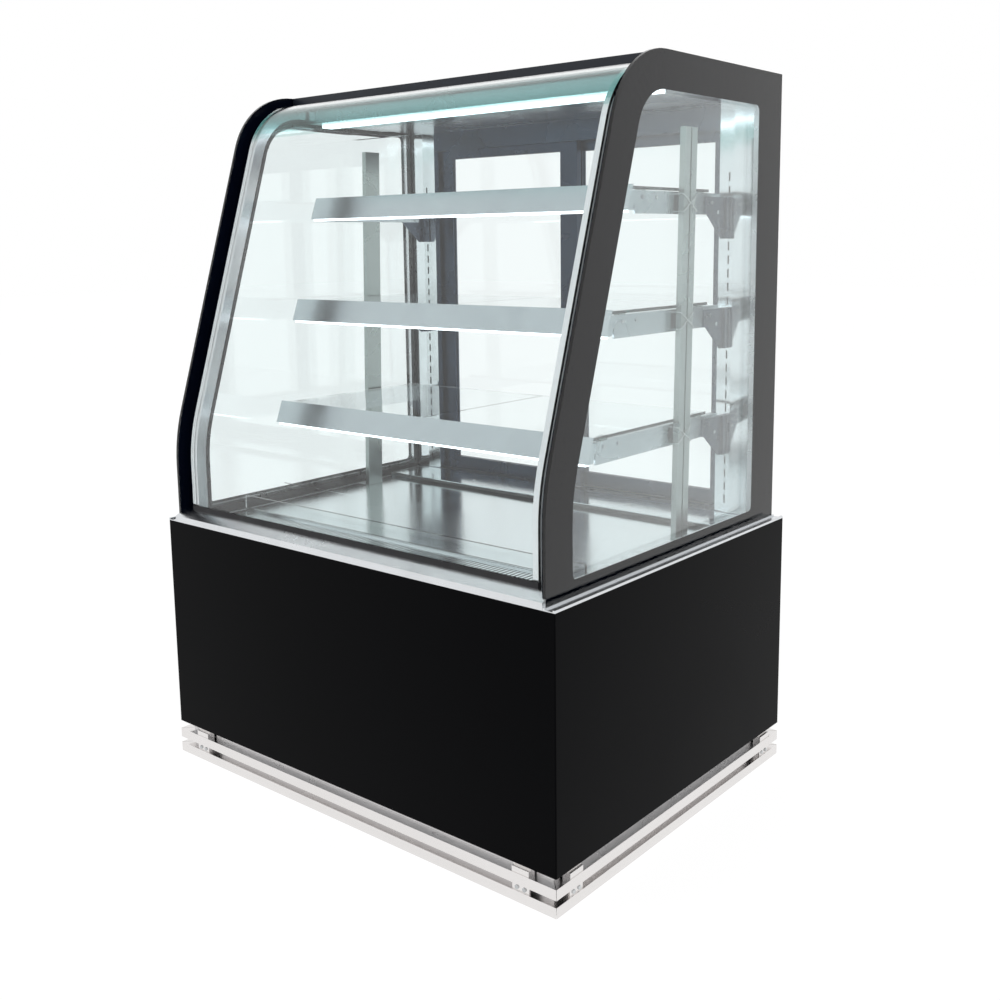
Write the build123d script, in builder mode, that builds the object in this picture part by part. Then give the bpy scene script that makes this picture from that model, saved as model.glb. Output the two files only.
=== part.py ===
from build123d import *
import math
import os

# Refrigerated bakery display case with a bent glass front, three glass shelves and
# sliding doors at the rear. Millimetres, +Z up, front towards -Y, origin in the middle
# of the footprint on the floor.

os.makedirs("parts", exist_ok=True)


def save(builder, name):
    """Label a finished piece and write it as its own STEP file."""
    builder.part.label = name
    export_step(builder.part, f"parts/{name}.step")


# ---------------------------------------------------------------------------
# Driving dimensions
# ---------------------------------------------------------------------------

# overall
WIDTH = 900.0
DEPTH = 690.0
HEIGHT = 1240.0
BASE_TOP = 455.0
FRONT = -DEPTH / 2
REAR = DEPTH / 2
SIDE = WIDTH / 2

# clearances
SEAT_GAP = 0.3
SLIDE_GAP = 1.0
SCREW_GAP = 0.1

# plinth
PLINTH_HEIGHT = 61.0
RAIL_HEIGHT = 17.0
RAIL_SLOT = 11.0
RAIL_DEPTH = 18.0
MITRE_GAP = 0.6
TAB_WIDTH = 32.0
TAB_THICKNESS = 3.0
TAB_RECESS = 2.0
TAB_FROM_CORNER_FRONT = 67.0
TAB_FROM_CORNER_SIDE = 51.0
SKIRT_THICKNESS = 1.5
CLIP_DEPTH = 14.0
CLIP_LIP = 9.0
CLIP_NOTCH = 5.0
CLIP_SETBACK = 1.0
SKIRT_LIFT = 2.0

# fasteners
SCREW_SHANK_R = 2.0
SCREW_HEAD_R = 3.4
SCREW_HEAD_HEIGHT = 1.6
SCREW_PITCH = 14.0

# base cabinet
PANEL_THICKNESS = 4.0
PANEL_EDGE_R = 2.0
TRAY_THICKNESS = 3.0
POST_LEG = 30.0
POST_THICKNESS = 3.0
LEDGE_ANGLE = 36.0
EDGE_TRIM = 12.0

# rear service panels
CONTROL_HEIGHT = 110.0
LOUVRE_HEIGHT = 7.0
LOUVRE_PITCH = 17.0
LOUVRE_LENGTH = 340.0
LOUVRE_COUNT = 13
LOUVRE_COLUMN_X = 200.0
SERVICE_GAP = 2.0

# controls
CONTROLLER_WIDTH = 78.0
CONTROLLER_HEIGHT = 34.0
CONTROLLER_BODY_WIDTH = 70.0
CONTROLLER_BODY_HEIGHT = 28.0
CONTROLLER_DEPTH = 58.0
CONTROLLER_X = -250.0
CONTROLLER_CORNER_R = 3.0
BEZEL_THICKNESS = 2.0
DISPLAY_OFFSET = 19.0
DISPLAY_WIDTH = 34.0
DISPLAY_HEIGHT = 18.0
DISPLAY_DEPTH = 1.2
BUTTON_R = 3.6
BUTTON_LENGTH = 7.0
BUTTON_PROUD = 1.6
BUTTON_TRAVEL = 0.8
BUTTON_PITCH = 11.0
BUTTON_GAP = 0.25
BUTTON_OFFSET = 6.0
BUTTON_EDGE_R = 0.6
ROCKER_WIDTH = 13.0
ROCKER_BODY_R = 10.5
ROCKER_SINK = 0.6
ROCKER_DISH = 1.9
ROCKER_PIN_R = 1.5
ROCKER_TILT = 8.0
ROCKER_BEZEL = 3.0
ROCKER_WALL = 2.0
ROCKER_GAP = 0.6
ROCKER_X = (-150.0, -110.0)
INLET_WIDTH = 28.0
INLET_HEIGHT = 22.0
INLET_DEPTH = 24.0
INLET_RECESS = 16.0
INLET_RECESS_WIDTH = 22.0
INLET_RECESS_HEIGHT = 15.0
INLET_FLANGE = 5.0
INLET_SIDE_INSET = 120.0
INLET_X = SIDE - INLET_SIDE_INSET
PIN_R = 1.6
PIN_LENGTH = 9.0
PIN_SPACING = 7.0
PIN_DROP = 2.5

# insulated tub and cooling
TUB_WALL = 60.0
TUB_FLOOR = 40.0
TUB_DEPTH_OUTSIDE = 122.0
TUB_SIDE_INSET = 22.0
TUB_HALF_WIDTH = SIDE - TUB_SIDE_INSET
EVAPORATOR_WIDTH = 560.0
EVAPORATOR_DEPTH = 110.0
EVAPORATOR_HEIGHT = 62.0
EVAPORATOR_FROM_REAR = 225.0
EVAPORATOR_Y = REAR - EVAPORATOR_FROM_REAR
COIL_TUBE_R = 5.0
COIL_TUBE_ROWS = 3
COIL_TUBE_PITCH = 32.0
COIL_END_REACH = 12.0
FAN_PANEL_FROM_COIL = 90.0
FAN_PANEL_Y = EVAPORATOR_Y - FAN_PANEL_FROM_COIL
FAN_PANEL_THICKNESS = 2.0
EVAPORATOR_FAN_R = 29.0
CONDENSER_WIDTH = 280.0
CONDENSER_HEIGHT = 220.0
CONDENSER_THICKNESS = 60.0
CONDENSER_X = -190.0
CONDENSER_FROM_REAR = 113.0
CONDENSER_Y = REAR - CONDENSER_FROM_REAR
CONDENSER_FEET = 12.0
SHROUD_DEPTH = 52.0
SHROUD_WALL = 2.0
CONDENSER_FAN_R = 88.0
FAN_RING_GAP = 5.0
FAN_HUB_SHARE = 0.3
FAN_STANDOFF = 2.0
BLADE_CHORD = 0.5
FAN_HUB_LENGTH = 22.0
FAN_BLADE_THICKNESS = 2.5
FAN_BLADE_PITCH = 28.0
FAN_BLADES = 5
SPINDLE_R = 4.0
SPINDLE_GAP = 0.1
MOTOR_R = 24.0
MOTOR_LENGTH = 26.0
SMALL_MOTOR_R = 12.0
SPIDER_WIDTH = 12.0
COMPRESSOR_R = 78.0
COMPRESSOR_HEIGHT = 178.0
COMPRESSOR_X = 190.0
COMPRESSOR_FROM_REAR = 155.0
COMPRESSOR_Y = REAR - COMPRESSOR_FROM_REAR
COMPRESSOR_DOME = 30.0
COMPRESSOR_PLATE = 6.0
COMPRESSOR_PLATE_SIZE = 180.0
COMPRESSOR_FOOT_R = 12.0
COMPRESSOR_FOOT_HEIGHT = 14.0
PIPE_R = 5.0
PIPE_BEND_R = 18.0
PIPE_CORNER_X = 30.0
DISCHARGE_Z = 150.0
SUCTION_BEND_Z = 300.0
SUCTION_FROM_REAR = 225.0
SUCTION_Y = REAR - SUCTION_FROM_REAR
DRAIN_TRAY_WIDTH = 300.0
DRAIN_TRAY_DEPTH = 200.0
DRAIN_TRAY_HEIGHT = 32.0
DRAIN_TRAY_WALL = 2.0
DRAIN_TRAY_FROM_FRONT = 225.0
DRAIN_TRAY_Y = FRONT + DRAIN_TRAY_FROM_FRONT

# deck
DECK_SHEET = 1.5
LEDGE_LIP = 11.0
LEDGE_RISE = 10.0
LEDGE_SLOPE = 22.0
LEDGE_SEAT = 7.0
SIDE_LEDGE_HEIGHT = 4.0
SIDE_LEDGE_RIB = 4.0
SIDE_LEDGE_FLOOR = 1.5
DECK_SIDE_INSET = 54.0
DECK_HALF_WIDTH = SIDE - DECK_SIDE_INSET
DECK_NOTCH_GAP = 1.0
GRILLE_SETBACK = 83.0
GRILLE_FRONT = FRONT + GRILLE_SETBACK
GRILLE_DEPTH = 66.0
GRILLE_REAR = GRILLE_FRONT + GRILLE_DEPTH
GRILLE_SLOT_LENGTH = 40.0
GRILLE_SLOT_WIDTH = 3.6
GRILLE_SLOT_PITCH = 8.6
GRILLE_SLOT_SETBACK = 28.0
GRILLE_SLOT_Y = GRILLE_FRONT + GRILLE_SLOT_SETBACK
GRILLE_MARGIN = 14.0
DECK_PANEL_FROM_REAR = 181.0
DECK_PANEL_REAR = REAR - DECK_PANEL_FROM_REAR
DECK_SEAM = 1.0
DUCT_RISE = 9.0
DUCT_LEAN = 6.0
DUCT_FROM_REAR = 159.0
DUCT_FRONT = REAR - DUCT_FROM_REAR
DUCT_VENTS = 7
DUCT_VENT_PITCH = 10.0
DUCT_VENT_LENGTH = 22.0
DUCT_VENT_WIDTH = 3.0
FENCE_FROM_SEAM = 8.0
FENCE_Y = GRILLE_REAR - FENCE_FROM_SEAM
FENCE_THICKNESS = 5.0
FENCE_HEIGHT = 28.0
FENCE_FOOT_HEIGHT = 4.0
FENCE_RIB = 2.0

# end glazing, all measured from the outline of the upper case
END_SETBACK = 22.0
END_X = SIDE - END_SETBACK
PANE = 5.0
GLAZING_THICKNESS = 22.0
OUTLINE_SETBACK = 8.0
BEND_RISE = 105.0
BEND_START = BASE_TOP + BEND_RISE
BEND_RADIUS = 340.0
TOP_RADIUS = 143.0
LEAN = 17.5
PRINT = 1.0
WINDOW_BORDER = 67.0
WINDOW_LIFT = 9.0
WINDOW_BOTTOM = 25.0
WINDOW_REAR = 77.0
WINDOW_CORNER = 9.0
SPACER_WIDTH = 5.0
SPACER_INSET = 58.0
CHANNEL_DEPTH = 20.0
CHANNEL_SIDE_INSET = 39.0
CHANNEL_WIDTH = 20.0
CHANNEL_OUTER_X = SIDE - CHANNEL_SIDE_INSET
CHANNEL_INNER_X = CHANNEL_OUTER_X - CHANNEL_WIDTH
CHANNEL_GROOVE = 2.0
CHANNEL_GROOVE_DEPTH = 3.0

# front glass and top
FRONT_GLASS = 6.0
FRONT_GLASS_SIDE_INSET = 46.0
FRONT_GLASS_HALF_WIDTH = SIDE - FRONT_GLASS_SIDE_INSET
GASKET_HEIGHT = 9.0
GASKET_REVEAL = 1.0
TOP_GASKET = 4.0
TOP_PANEL_THICKNESS = 3.0
CANOPY_HEIGHT = 46.0
CANOPY_SIDE_INSET = 64.0
CANOPY_HALF_WIDTH = SIDE - CANOPY_SIDE_INSET
CANOPY_SETBACK = 14.2
LAMP_WIDTH = 24.0
LAMP_END = 6.0
LAMP_HEIGHT = 6.0
LAMP_SETBACK = 40.0

# rear frame and doors
POST_FROM_REAR = 66.0
POST_FRONT = REAR - POST_FROM_REAR
POST_RIDGE_INSET = 82.0
POST_RIDGE = SIDE - POST_RIDGE_INSET
POST_SHEET = 1.5
POST_FACET_SETBACK = 4.0
POST_SIDE_INSET = 112.0
POST_INNER_X = SIDE - POST_SIDE_INSET
POST_DEPTH = 17.0
JAMB_SIDE_INSET = 46.0
JAMB_OUTER_X = SIDE - JAMB_SIDE_INSET
JAMB_WIDTH = 57.0
JAMB_INNER_X = JAMB_OUTER_X - JAMB_WIDTH
SILL_HEIGHT = 11.0
HEADER_HEIGHT = 90.0
HEADER_BOTTOM = HEIGHT - HEADER_HEIGHT
TRACK_DEPTH = 6.0
HEADER_TRACK_DEPTH = 12.0
DOOR_THICKNESS = 14.0
DOOR_STILE = 40.0
DOOR_RAIL = 26.0
DOOR_OVERLAP = 20.0
DOOR_HEAD_ENGAGEMENT = 8.0
SHOE_THICKNESS = 10.0
SHOE_LENGTH = 40.0
DOOR_TRACK_SETBACKS = (34.0, 15.0)
DOOR_TRACK_Y = [REAR - setback for setback in DOOR_TRACK_SETBACKS]
DOOR_PANE = 6.0
DOOR_PANE_ENGAGEMENT = 8.0
PULL_LENGTH = 120.0
PULL_WIDTH = 20.0
PULL_DEPTH = 7.0
PULL_SHARE = 0.5

# slots that carry the shelves
SLOT_PITCH = 24.0
SLOT_LENGTH = 15.0
SLOT_WIDTH = 3.2
SLOT_SIDE_INSET = 91.0
SLOT_X = SIDE - SLOT_SIDE_INSET
SLOTS_BELOW = 6
HOOK_DROP = 18.0
HOOK_SPACING = 2
SLOT_TOP_MARGIN = 110.0

# shelves, lowest first
SHELF_SPREAD = 2.5
SHELF_TIERS = ("lower", "middle", "top")
LOWEST_SHELF_RISE = 198.0
LOWEST_SHELF = BASE_TOP + LOWEST_SHELF_RISE
LOWEST_SHELF_SETBACK = 209.0
LOWEST_SHELF_FRONT = FRONT + LOWEST_SHELF_SETBACK
SHELF_SETBACKS = (0.0, 50.0, 106.0)
SHELF_PANE = 5.0
SHELF_PANE_FROM_REAR = 128.0
SHELF_PANE_REAR = REAR - SHELF_PANE_FROM_REAR
SHELF_PANE_GAP = 2.0
SHELF_PANE_SIDE_INSET = 96.0
SHELF_PANE_HALF_WIDTH = SIDE - SHELF_PANE_SIDE_INSET
ARM_SIDE_INSET = 95.0
ARM_X = SIDE - ARM_SIDE_INSET
ARM_THICKNESS = 3.0
ARM_HEIGHT = 36.0
ARM_FLANGE = 14.0
ARM_FLANGE_THICKNESS = 2.0
ARM_FROM_REAR = 95.0
ARM_REAR = REAR - ARM_FROM_REAR
LIGHT_RAIL_HEIGHT = 40.0
LIGHT_RAIL_RISE = 9.0
LIGHT_RAIL_DEPTH = 14.0
LIGHT_RAIL_LEAN = 15.0
LIGHT_RAIL_SIDE_INSET = 88.0
LIGHT_RAIL_HALF_WIDTH = SIDE - LIGHT_RAIL_SIDE_INSET
LIGHT_RAIL_LIP = 2.0
SHELF_LAMP_WIDTH = 9.0
SHELF_LAMP_HEIGHT = 4.0
PAD_LENGTH = 18.0
PAD_WIDTH = 10.0
PAD_THICKNESS = 1.5
PAD_FROM_FRONT = 40.0
PAD_FROM_REAR = 24.0
PAD_FROM_MIDDLE = 20.0
BRACKET_THICKNESS = 2.0
BRACKET_FROM_REAR = 148.0
BRACKET_FRONT = REAR - BRACKET_FROM_REAR
BRACKET_TOP_DROP = 6.0
BRACKET_GUSSET = 41.0
BRACKET_FOOT = 56.0
BRACKET_COLUMN = 18.0
BRACKET_COLUMN_WIDTH = 13.0
HOOK_HEIGHT = 9.0
HOOK_TONGUE = 3.0
HOOK_BITE = 4.0
COLUMN_GROOVE = 8.0
COLUMN_GROOVE_DEPTH = 2.0

# side poles and their wire ties
POLE_SIDE_INSET = 87.0
POLE_INNER_X = SIDE - POLE_SIDE_INSET
POLE_THICKNESS = 10.0
POLE_WIDTH = 38.0
POLE_FROM_TOP = 99.0
POLE_TOP = HEIGHT - POLE_FROM_TOP
POLE_FROM_REAR = 219.0
POLE_Y = REAR - POLE_FROM_REAR
POLE_LEAN = 18.0
POLE_GROOVE = 4.0
POLE_GROOVE_DEPTH = 2.5
WIRE_R = 0.9
WIRE_BEND = 3.0
WIRE_CLEARANCE = 2.0
WIRE_MARGIN = 4.0

# screw places
ARM_SCREW_SETBACKS = (34.0, 74.0)
ARM_SCREW_DROP = 10.0
BRACKET_SCREW_PLACES = ((7.0, 16.0), (19.0, 16.0), (40.0, 32.0))
DUCT_SCREW_X = 190.0
DUCT_SCREW_SETBACK = 40.0
JAMB_SCREW_SETBACK = 5.0
JAMB_SCREW_RISE = 105.0
JAMB_SCREW_DROP = 70.0
JAMB_SCREW_COUNT = 5
SERVICE_SCREW_INSET = 22.0
SCREW_LENGTH = 2.5

# ---------------------------------------------------------------------------
# Places worked out from the driving dimensions
# ---------------------------------------------------------------------------

# side outline of the upper case: upright foot, bend, leaning run, crown, level top
CASE_FRONT = FRONT + OUTLINE_SETBACK
LEAN_SIN = math.sin(math.radians(LEAN))
LEAN_COS = math.cos(math.radians(LEAN))


def crown_centre(lift=0.0):
    """Centre of the crown arc, tangent to the leaning run and to the top."""
    z = HEIGHT + lift - TOP_RADIUS
    rise = (z - BEND_START) * LEAN_SIN
    y = CASE_FRONT + BEND_RADIUS + (rise + TOP_RADIUS - BEND_RADIUS) / LEAN_COS
    return y, z


def draw_outline(inset, bottom, rear, lift=0.0):
    """Draw the side outline, brought in by inset, and return its two ends."""
    bend_y = CASE_FRONT + BEND_RADIUS
    crown_y, crown_z = crown_centre(lift)

    def on_arc(centre_y, centre_z, radius, degrees):
        angle = math.radians(degrees)
        return (centre_y - radius * math.cos(angle), centre_z + radius * math.sin(angle))

    bend = [on_arc(bend_y, BEND_START, BEND_RADIUS - inset, a) for a in (0, LEAN / 2, LEAN)]
    crown = [on_arc(crown_y, crown_z, TOP_RADIUS - inset, a) for a in (LEAN, (LEAN + 90) / 2, 90)]
    foot = (CASE_FRONT + inset, bottom)
    back = (rear, crown[2][1])
    Line(foot, bend[0])
    ThreePointArc(*bend)
    Line(bend[2], crown[0])
    ThreePointArc(*crown)
    Line(crown[2], back)
    return foot, back


def outline_face(inset, bottom, rear, lift=0.0, mode=Mode.ADD):
    """Fill the side outline down to bottom and back to rear."""
    with BuildLine() as edge:
        foot, back = draw_outline(inset, bottom, rear, lift)
        Polyline(back, (rear, bottom), foot)
    make_face(edge.edges(), mode=mode)


def outline_strip(inset, thickness, bottom, rear):
    """A curved strip that follows the side outline, of even thickness."""
    with BuildLine() as edge:
        outer_foot, outer_back = draw_outline(inset, bottom, rear)
        inner_foot, inner_back = draw_outline(inset + thickness, bottom, rear)
        Line(outer_foot, inner_foot)
        Line(outer_back, inner_back)
    make_face(edge.edges())


def block(low, high, mode=Mode.ADD):
    """A box between two opposite corners."""
    middle = [(a + b) / 2 for a, b in zip(low, high)]
    size = [b - a for a, b in zip(low, high)]
    with Locations(tuple(middle)):
        Box(*size, mode=mode)


CROWN_Y = crown_centre()[0]

# plinth levels and the places of its tabs: position of the tab's middle, way it faces
UPPER_RAIL = RAIL_HEIGHT + RAIL_SLOT
CLIP_BOTTOM = UPPER_RAIL + RAIL_HEIGHT
TABS = []
for way in (-1, 1):
    for end in (-1, 1):
        TABS.append(((end * (SIDE - TAB_FROM_CORNER_FRONT), way * DEPTH / 2), (0, way)))
        TABS.append(((way * SIDE, end * (DEPTH / 2 - TAB_FROM_CORNER_SIDE)), (way, 0)))

# base cabinet
TRAY_TOP = PLINTH_HEIGHT + TRAY_THICKNESS
INSIDE_X = SIDE - PANEL_THICKNESS
INSIDE_FRONT = FRONT + PANEL_THICKNESS
REAR_PANEL_OUT = REAR - PANEL_THICKNESS
REAR_PANEL_IN = REAR_PANEL_OUT - PANEL_THICKNESS
CONTROL_BOTTOM = BASE_TOP - CONTROL_HEIGHT
CONTROL_Z = BASE_TOP - CONTROL_HEIGHT / 2
TUB_BOTTOM = BASE_TOP - TUB_DEPTH_OUTSIDE

# deck and ledge levels
DECK_TOP = BASE_TOP + DECK_SHEET
LEDGE_TOP = BASE_TOP + LEDGE_LIP + LEDGE_RISE
SILL_TOP = BASE_TOP + SILL_HEIGHT
SILL_FRONT = POST_FRONT - SLIDE_GAP
LEDGE_REAR = FRONT + LEDGE_SLOPE + LEDGE_SEAT
HEADER_FRONT = POST_FRONT + POST_DEPTH
GLASS_INSET = LEDGE_SLOPE - OUTLINE_SETBACK + GASKET_REVEAL
CHANNEL_INSET = GLASS_INSET + FRONT_GLASS + SEAT_GAP
PANE_INSIDE = END_X - PANE
TOP_UNDERSIDE = HEIGHT - TOP_PANEL_THICKNESS
CANOPY_BOTTOM = TOP_UNDERSIDE - CANOPY_HEIGHT
CANOPY_FRONT = CROWN_Y + CANOPY_SETBACK
LAMP_Y = CANOPY_FRONT + LAMP_SETBACK

# shelves: height of the arms' top and place of the rail's front edge, lowest first
SHELF_STEP = int((HEADER_BOTTOM - LOWEST_SHELF) / (SHELF_SPREAD * SLOT_PITCH)) * SLOT_PITCH
SHELF_TOPS = [LOWEST_SHELF + tier * SHELF_STEP for tier in range(len(SHELF_TIERS))]
SHELF_FRONTS = [LOWEST_SHELF_FRONT + setback for setback in SHELF_SETBACKS]
SLOT_FIRST = LOWEST_SHELF - HOOK_DROP - SLOTS_BELOW * SLOT_PITCH
SLOT_COUNT = int((CANOPY_BOTTOM - SLOT_TOP_MARGIN - SLOT_FIRST) / SLOT_PITCH) + 1
SLOT_HEIGHTS = [SLOT_FIRST + step * SLOT_PITCH for step in range(SLOT_COUNT)]
RAIL_FOOT_SETBACK = LIGHT_RAIL_LEAN * LIGHT_RAIL_RISE / LIGHT_RAIL_HEIGHT
BRACKET_FACE = ARM_X + ARM_THICKNESS + BRACKET_THICKNESS
GUSSET_END = BRACKET_FRONT + BRACKET_FOOT
COLUMN_REAR = POST_FRONT - SEAT_GAP
COLUMN_FRONT = COLUMN_REAR - BRACKET_COLUMN

# screws: where each one sits and the way its head faces
PLINTH_SCREWS = []
for (x, y), (nx, ny) in TABS:
    for shift in (-SCREW_PITCH / 2, SCREW_PITCH / 2):
        across = x - nx * TAB_RECESS + ny * shift
        along = y - ny * TAB_RECESS + nx * shift
        seat = (across, along, RAIL_HEIGHT + RAIL_SLOT / 2)
        PLINTH_SCREWS.append(Plane(origin=seat, z_dir=(nx, ny, 0)))
ARM_SCREWS = []
BRACKET_SCREWS = []
for top, front in zip(SHELF_TOPS, SHELF_FRONTS):
    for side in (-1, 1):
        for back in ARM_SCREW_SETBACKS:
            seat = (side * (ARM_X + ARM_THICKNESS), front + back, top - ARM_SCREW_DROP)
            ARM_SCREWS.append(Plane(origin=seat, z_dir=(side, 0, 0)))
        for back, drop in BRACKET_SCREW_PLACES:
            seat = (side * BRACKET_FACE, BRACKET_FRONT + back, top - drop)
            BRACKET_SCREWS.append(Plane(origin=seat, z_dir=(side, 0, 0)))
DUCT_SCREWS = [
    Plane(origin=(x, DUCT_FRONT + DUCT_SCREW_SETBACK, DECK_TOP + DUCT_RISE), z_dir=(0, 0, 1))
    for x in (-DUCT_SCREW_X, 0, DUCT_SCREW_X)
]
JAMB_SCREW_FIRST = BASE_TOP + JAMB_SCREW_RISE
JAMB_SCREW_PITCH = (HEADER_BOTTOM - JAMB_SCREW_DROP - JAMB_SCREW_FIRST) / (JAMB_SCREW_COUNT - 1)
JAMB_SCREWS = []
for side in (-1, 1):
    for step in range(JAMB_SCREW_COUNT):
        screw_z = JAMB_SCREW_FIRST + step * JAMB_SCREW_PITCH
        seat = (side * JAMB_OUTER_X, HEADER_FRONT + JAMB_SCREW_SETBACK, screw_z)
        JAMB_SCREWS.append(Plane(origin=seat, z_dir=(side, 0, 0)))
SERVICE_SCREWS = [
    Plane(origin=(side * (INSIDE_X - SERVICE_SCREW_INSET), REAR_PANEL_OUT, z), z_dir=(0, 1, 0))
    for side in (-1, 1)
    for z in (PLINTH_HEIGHT + SERVICE_SCREW_INSET, CONTROL_BOTTOM - SERVICE_SCREW_INSET,
              CONTROL_BOTTOM + SERVICE_SCREW_INSET, BASE_TOP - SERVICE_SCREW_INSET)
]


def screw_holes(seats, depth):
    """Cut a clearance hole behind each screw seat."""
    with Locations(*seats):
        Cylinder(SCREW_SHANK_R + SCREW_GAP, depth * 2, mode=Mode.SUBTRACT)


# ---------------------------------------------------------------------------
# Plinth
# ---------------------------------------------------------------------------

with BuildPart() as plinth_rails:
    for level in (0, UPPER_RAIL):
        with BuildSketch(Plane.XY.offset(level)):
            Rectangle(WIDTH, DEPTH)
            Rectangle(WIDTH - 2 * RAIL_DEPTH, DEPTH - 2 * RAIL_DEPTH, mode=Mode.SUBTRACT)
        extrude(amount=RAIL_HEIGHT)
    with BuildSketch(Plane.XY.offset(RAIL_HEIGHT)):
        for (x, y), (nx, ny) in TABS:
            inward = TAB_RECESS + TAB_THICKNESS / 2
            with Locations((x - nx * inward, y - ny * inward)):
                Rectangle(
                    abs(ny) * TAB_WIDTH + abs(nx) * TAB_THICKNESS,
                    abs(nx) * TAB_WIDTH + abs(ny) * TAB_THICKNESS,
                )
    extrude(amount=RAIL_SLOT)
    screw_holes(PLINTH_SCREWS, TAB_THICKNESS)
    # mitre joints at the four corners
    with BuildSketch():
        for sx in (-1, 1):
            for sy in (-1, 1):
                with Locations(Location((sx * SIDE, sy * DEPTH / 2, 0), (0, 0, sx * sy * 45))):
                    Rectangle(RAIL_DEPTH * 4, MITRE_GAP)
    extrude(amount=CLIP_BOTTOM, mode=Mode.SUBTRACT)
save(plinth_rails, "plinth_rails")

with BuildPart() as plinth_skirt:
    with BuildSketch(Plane.XY.offset(SKIRT_LIFT)):
        Rectangle(WIDTH - 2 * RAIL_DEPTH, DEPTH - 2 * RAIL_DEPTH)
        Rectangle(
            WIDTH - 2 * (RAIL_DEPTH + SKIRT_THICKNESS),
            DEPTH - 2 * (RAIL_DEPTH + SKIRT_THICKNESS),
            mode=Mode.SUBTRACT,
        )
    extrude(amount=PLINTH_HEIGHT - SKIRT_LIFT)
save(plinth_skirt, "plinth_skirt")

# clips that carry the cabinet on the rails, notched at the top of their front
with BuildPart() as plinth_clips:
    for depth, low, mode in (
        (CLIP_DEPTH, CLIP_BOTTOM, Mode.ADD),
        (CLIP_NOTCH, CLIP_BOTTOM + CLIP_LIP, Mode.SUBTRACT),
    ):
        inward = CLIP_SETBACK + depth / 2
        with BuildSketch(Plane.XY.offset(low)):
            for (x, y), (nx, ny) in TABS:
                with Locations((x - nx * inward, y - ny * inward)):
                    Rectangle(abs(ny) * TAB_WIDTH + abs(nx) * depth, abs(nx) * TAB_WIDTH + abs(ny) * depth)
        extrude(amount=PLINTH_HEIGHT - low, mode=mode)
save(plinth_clips, "plinth_clips")

# ---------------------------------------------------------------------------
# Base cabinet
# ---------------------------------------------------------------------------

with BuildPart() as base_tray:
    block((-INSIDE_X, INSIDE_FRONT, PLINTH_HEIGHT), (INSIDE_X, REAR_PANEL_IN, TRAY_TOP))
save(base_tray, "base_tray")

# two side frames: corner posts of angle section joined by the ledge that carries the tub
with BuildPart() as base_frame:
    with BuildSketch(Plane.XY.offset(TRAY_TOP)):
        for y, way in ((INSIDE_FRONT, 1), (REAR_PANEL_IN, -1)):
            with Locations((INSIDE_X - POST_THICKNESS / 2, y + way * POST_LEG / 2)):
                Rectangle(POST_THICKNESS, POST_LEG)
            with Locations((INSIDE_X - POST_LEG / 2, y + way * POST_THICKNESS / 2)):
                Rectangle(POST_LEG, POST_THICKNESS)
    extrude(amount=BASE_TOP - TRAY_TOP)
    block(
        (INSIDE_X - LEDGE_ANGLE, INSIDE_FRONT, TUB_BOTTOM - POST_THICKNESS),
        (INSIDE_X, REAR_PANEL_IN, TUB_BOTTOM),
    )
    mirror(about=Plane.YZ)
save(base_frame, "base_frame")

with BuildPart() as front_panel:
    block((-SIDE, FRONT, PLINTH_HEIGHT), (SIDE, INSIDE_FRONT, BASE_TOP))
    fillet(front_panel.edges().filter_by(Axis.Z).group_by(Axis.Y)[0], PANEL_EDGE_R)
save(front_panel, "front_panel")

# each side panel has a return flange folded in over the rear panels' edge
with BuildPart() as side_panels:
    block((INSIDE_X, INSIDE_FRONT, PLINTH_HEIGHT), (SIDE, REAR, BASE_TOP))
    block((INSIDE_X - EDGE_TRIM, REAR_PANEL_OUT, PLINTH_HEIGHT), (INSIDE_X, REAR, BASE_TOP))
    mirror(about=Plane.YZ)
save(side_panels, "side_panels")

SERVICE_TOP = CONTROL_BOTTOM - SERVICE_GAP
LOUVRE_MIDDLE = (PLINTH_HEIGHT + SERVICE_TOP) / 2
with BuildPart() as rear_grille:
    block((-INSIDE_X, REAR_PANEL_IN, PLINTH_HEIGHT), (INSIDE_X, REAR_PANEL_OUT, SERVICE_TOP))
    with BuildSketch(Plane.XZ.offset(-REAR_PANEL_OUT)):
        with Locations((-LOUVRE_COLUMN_X, LOUVRE_MIDDLE), (LOUVRE_COLUMN_X, LOUVRE_MIDDLE)):
            with GridLocations(0, LOUVRE_PITCH, 1, LOUVRE_COUNT):
                SlotOverall(LOUVRE_LENGTH, LOUVRE_HEIGHT)
    extrude(amount=PANEL_THICKNESS, mode=Mode.SUBTRACT)
    screw_holes(SERVICE_SCREWS, PANEL_THICKNESS)
save(rear_grille, "rear_grille")


def control_block(x, half_width, half_height, rear, front, mode=Mode.ADD):
    """A box centred on the height of the controls, between two depths."""
    block((x - half_width, rear, CONTROL_Z - half_height), (x + half_width, front, CONTROL_Z + half_height), mode)


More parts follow.
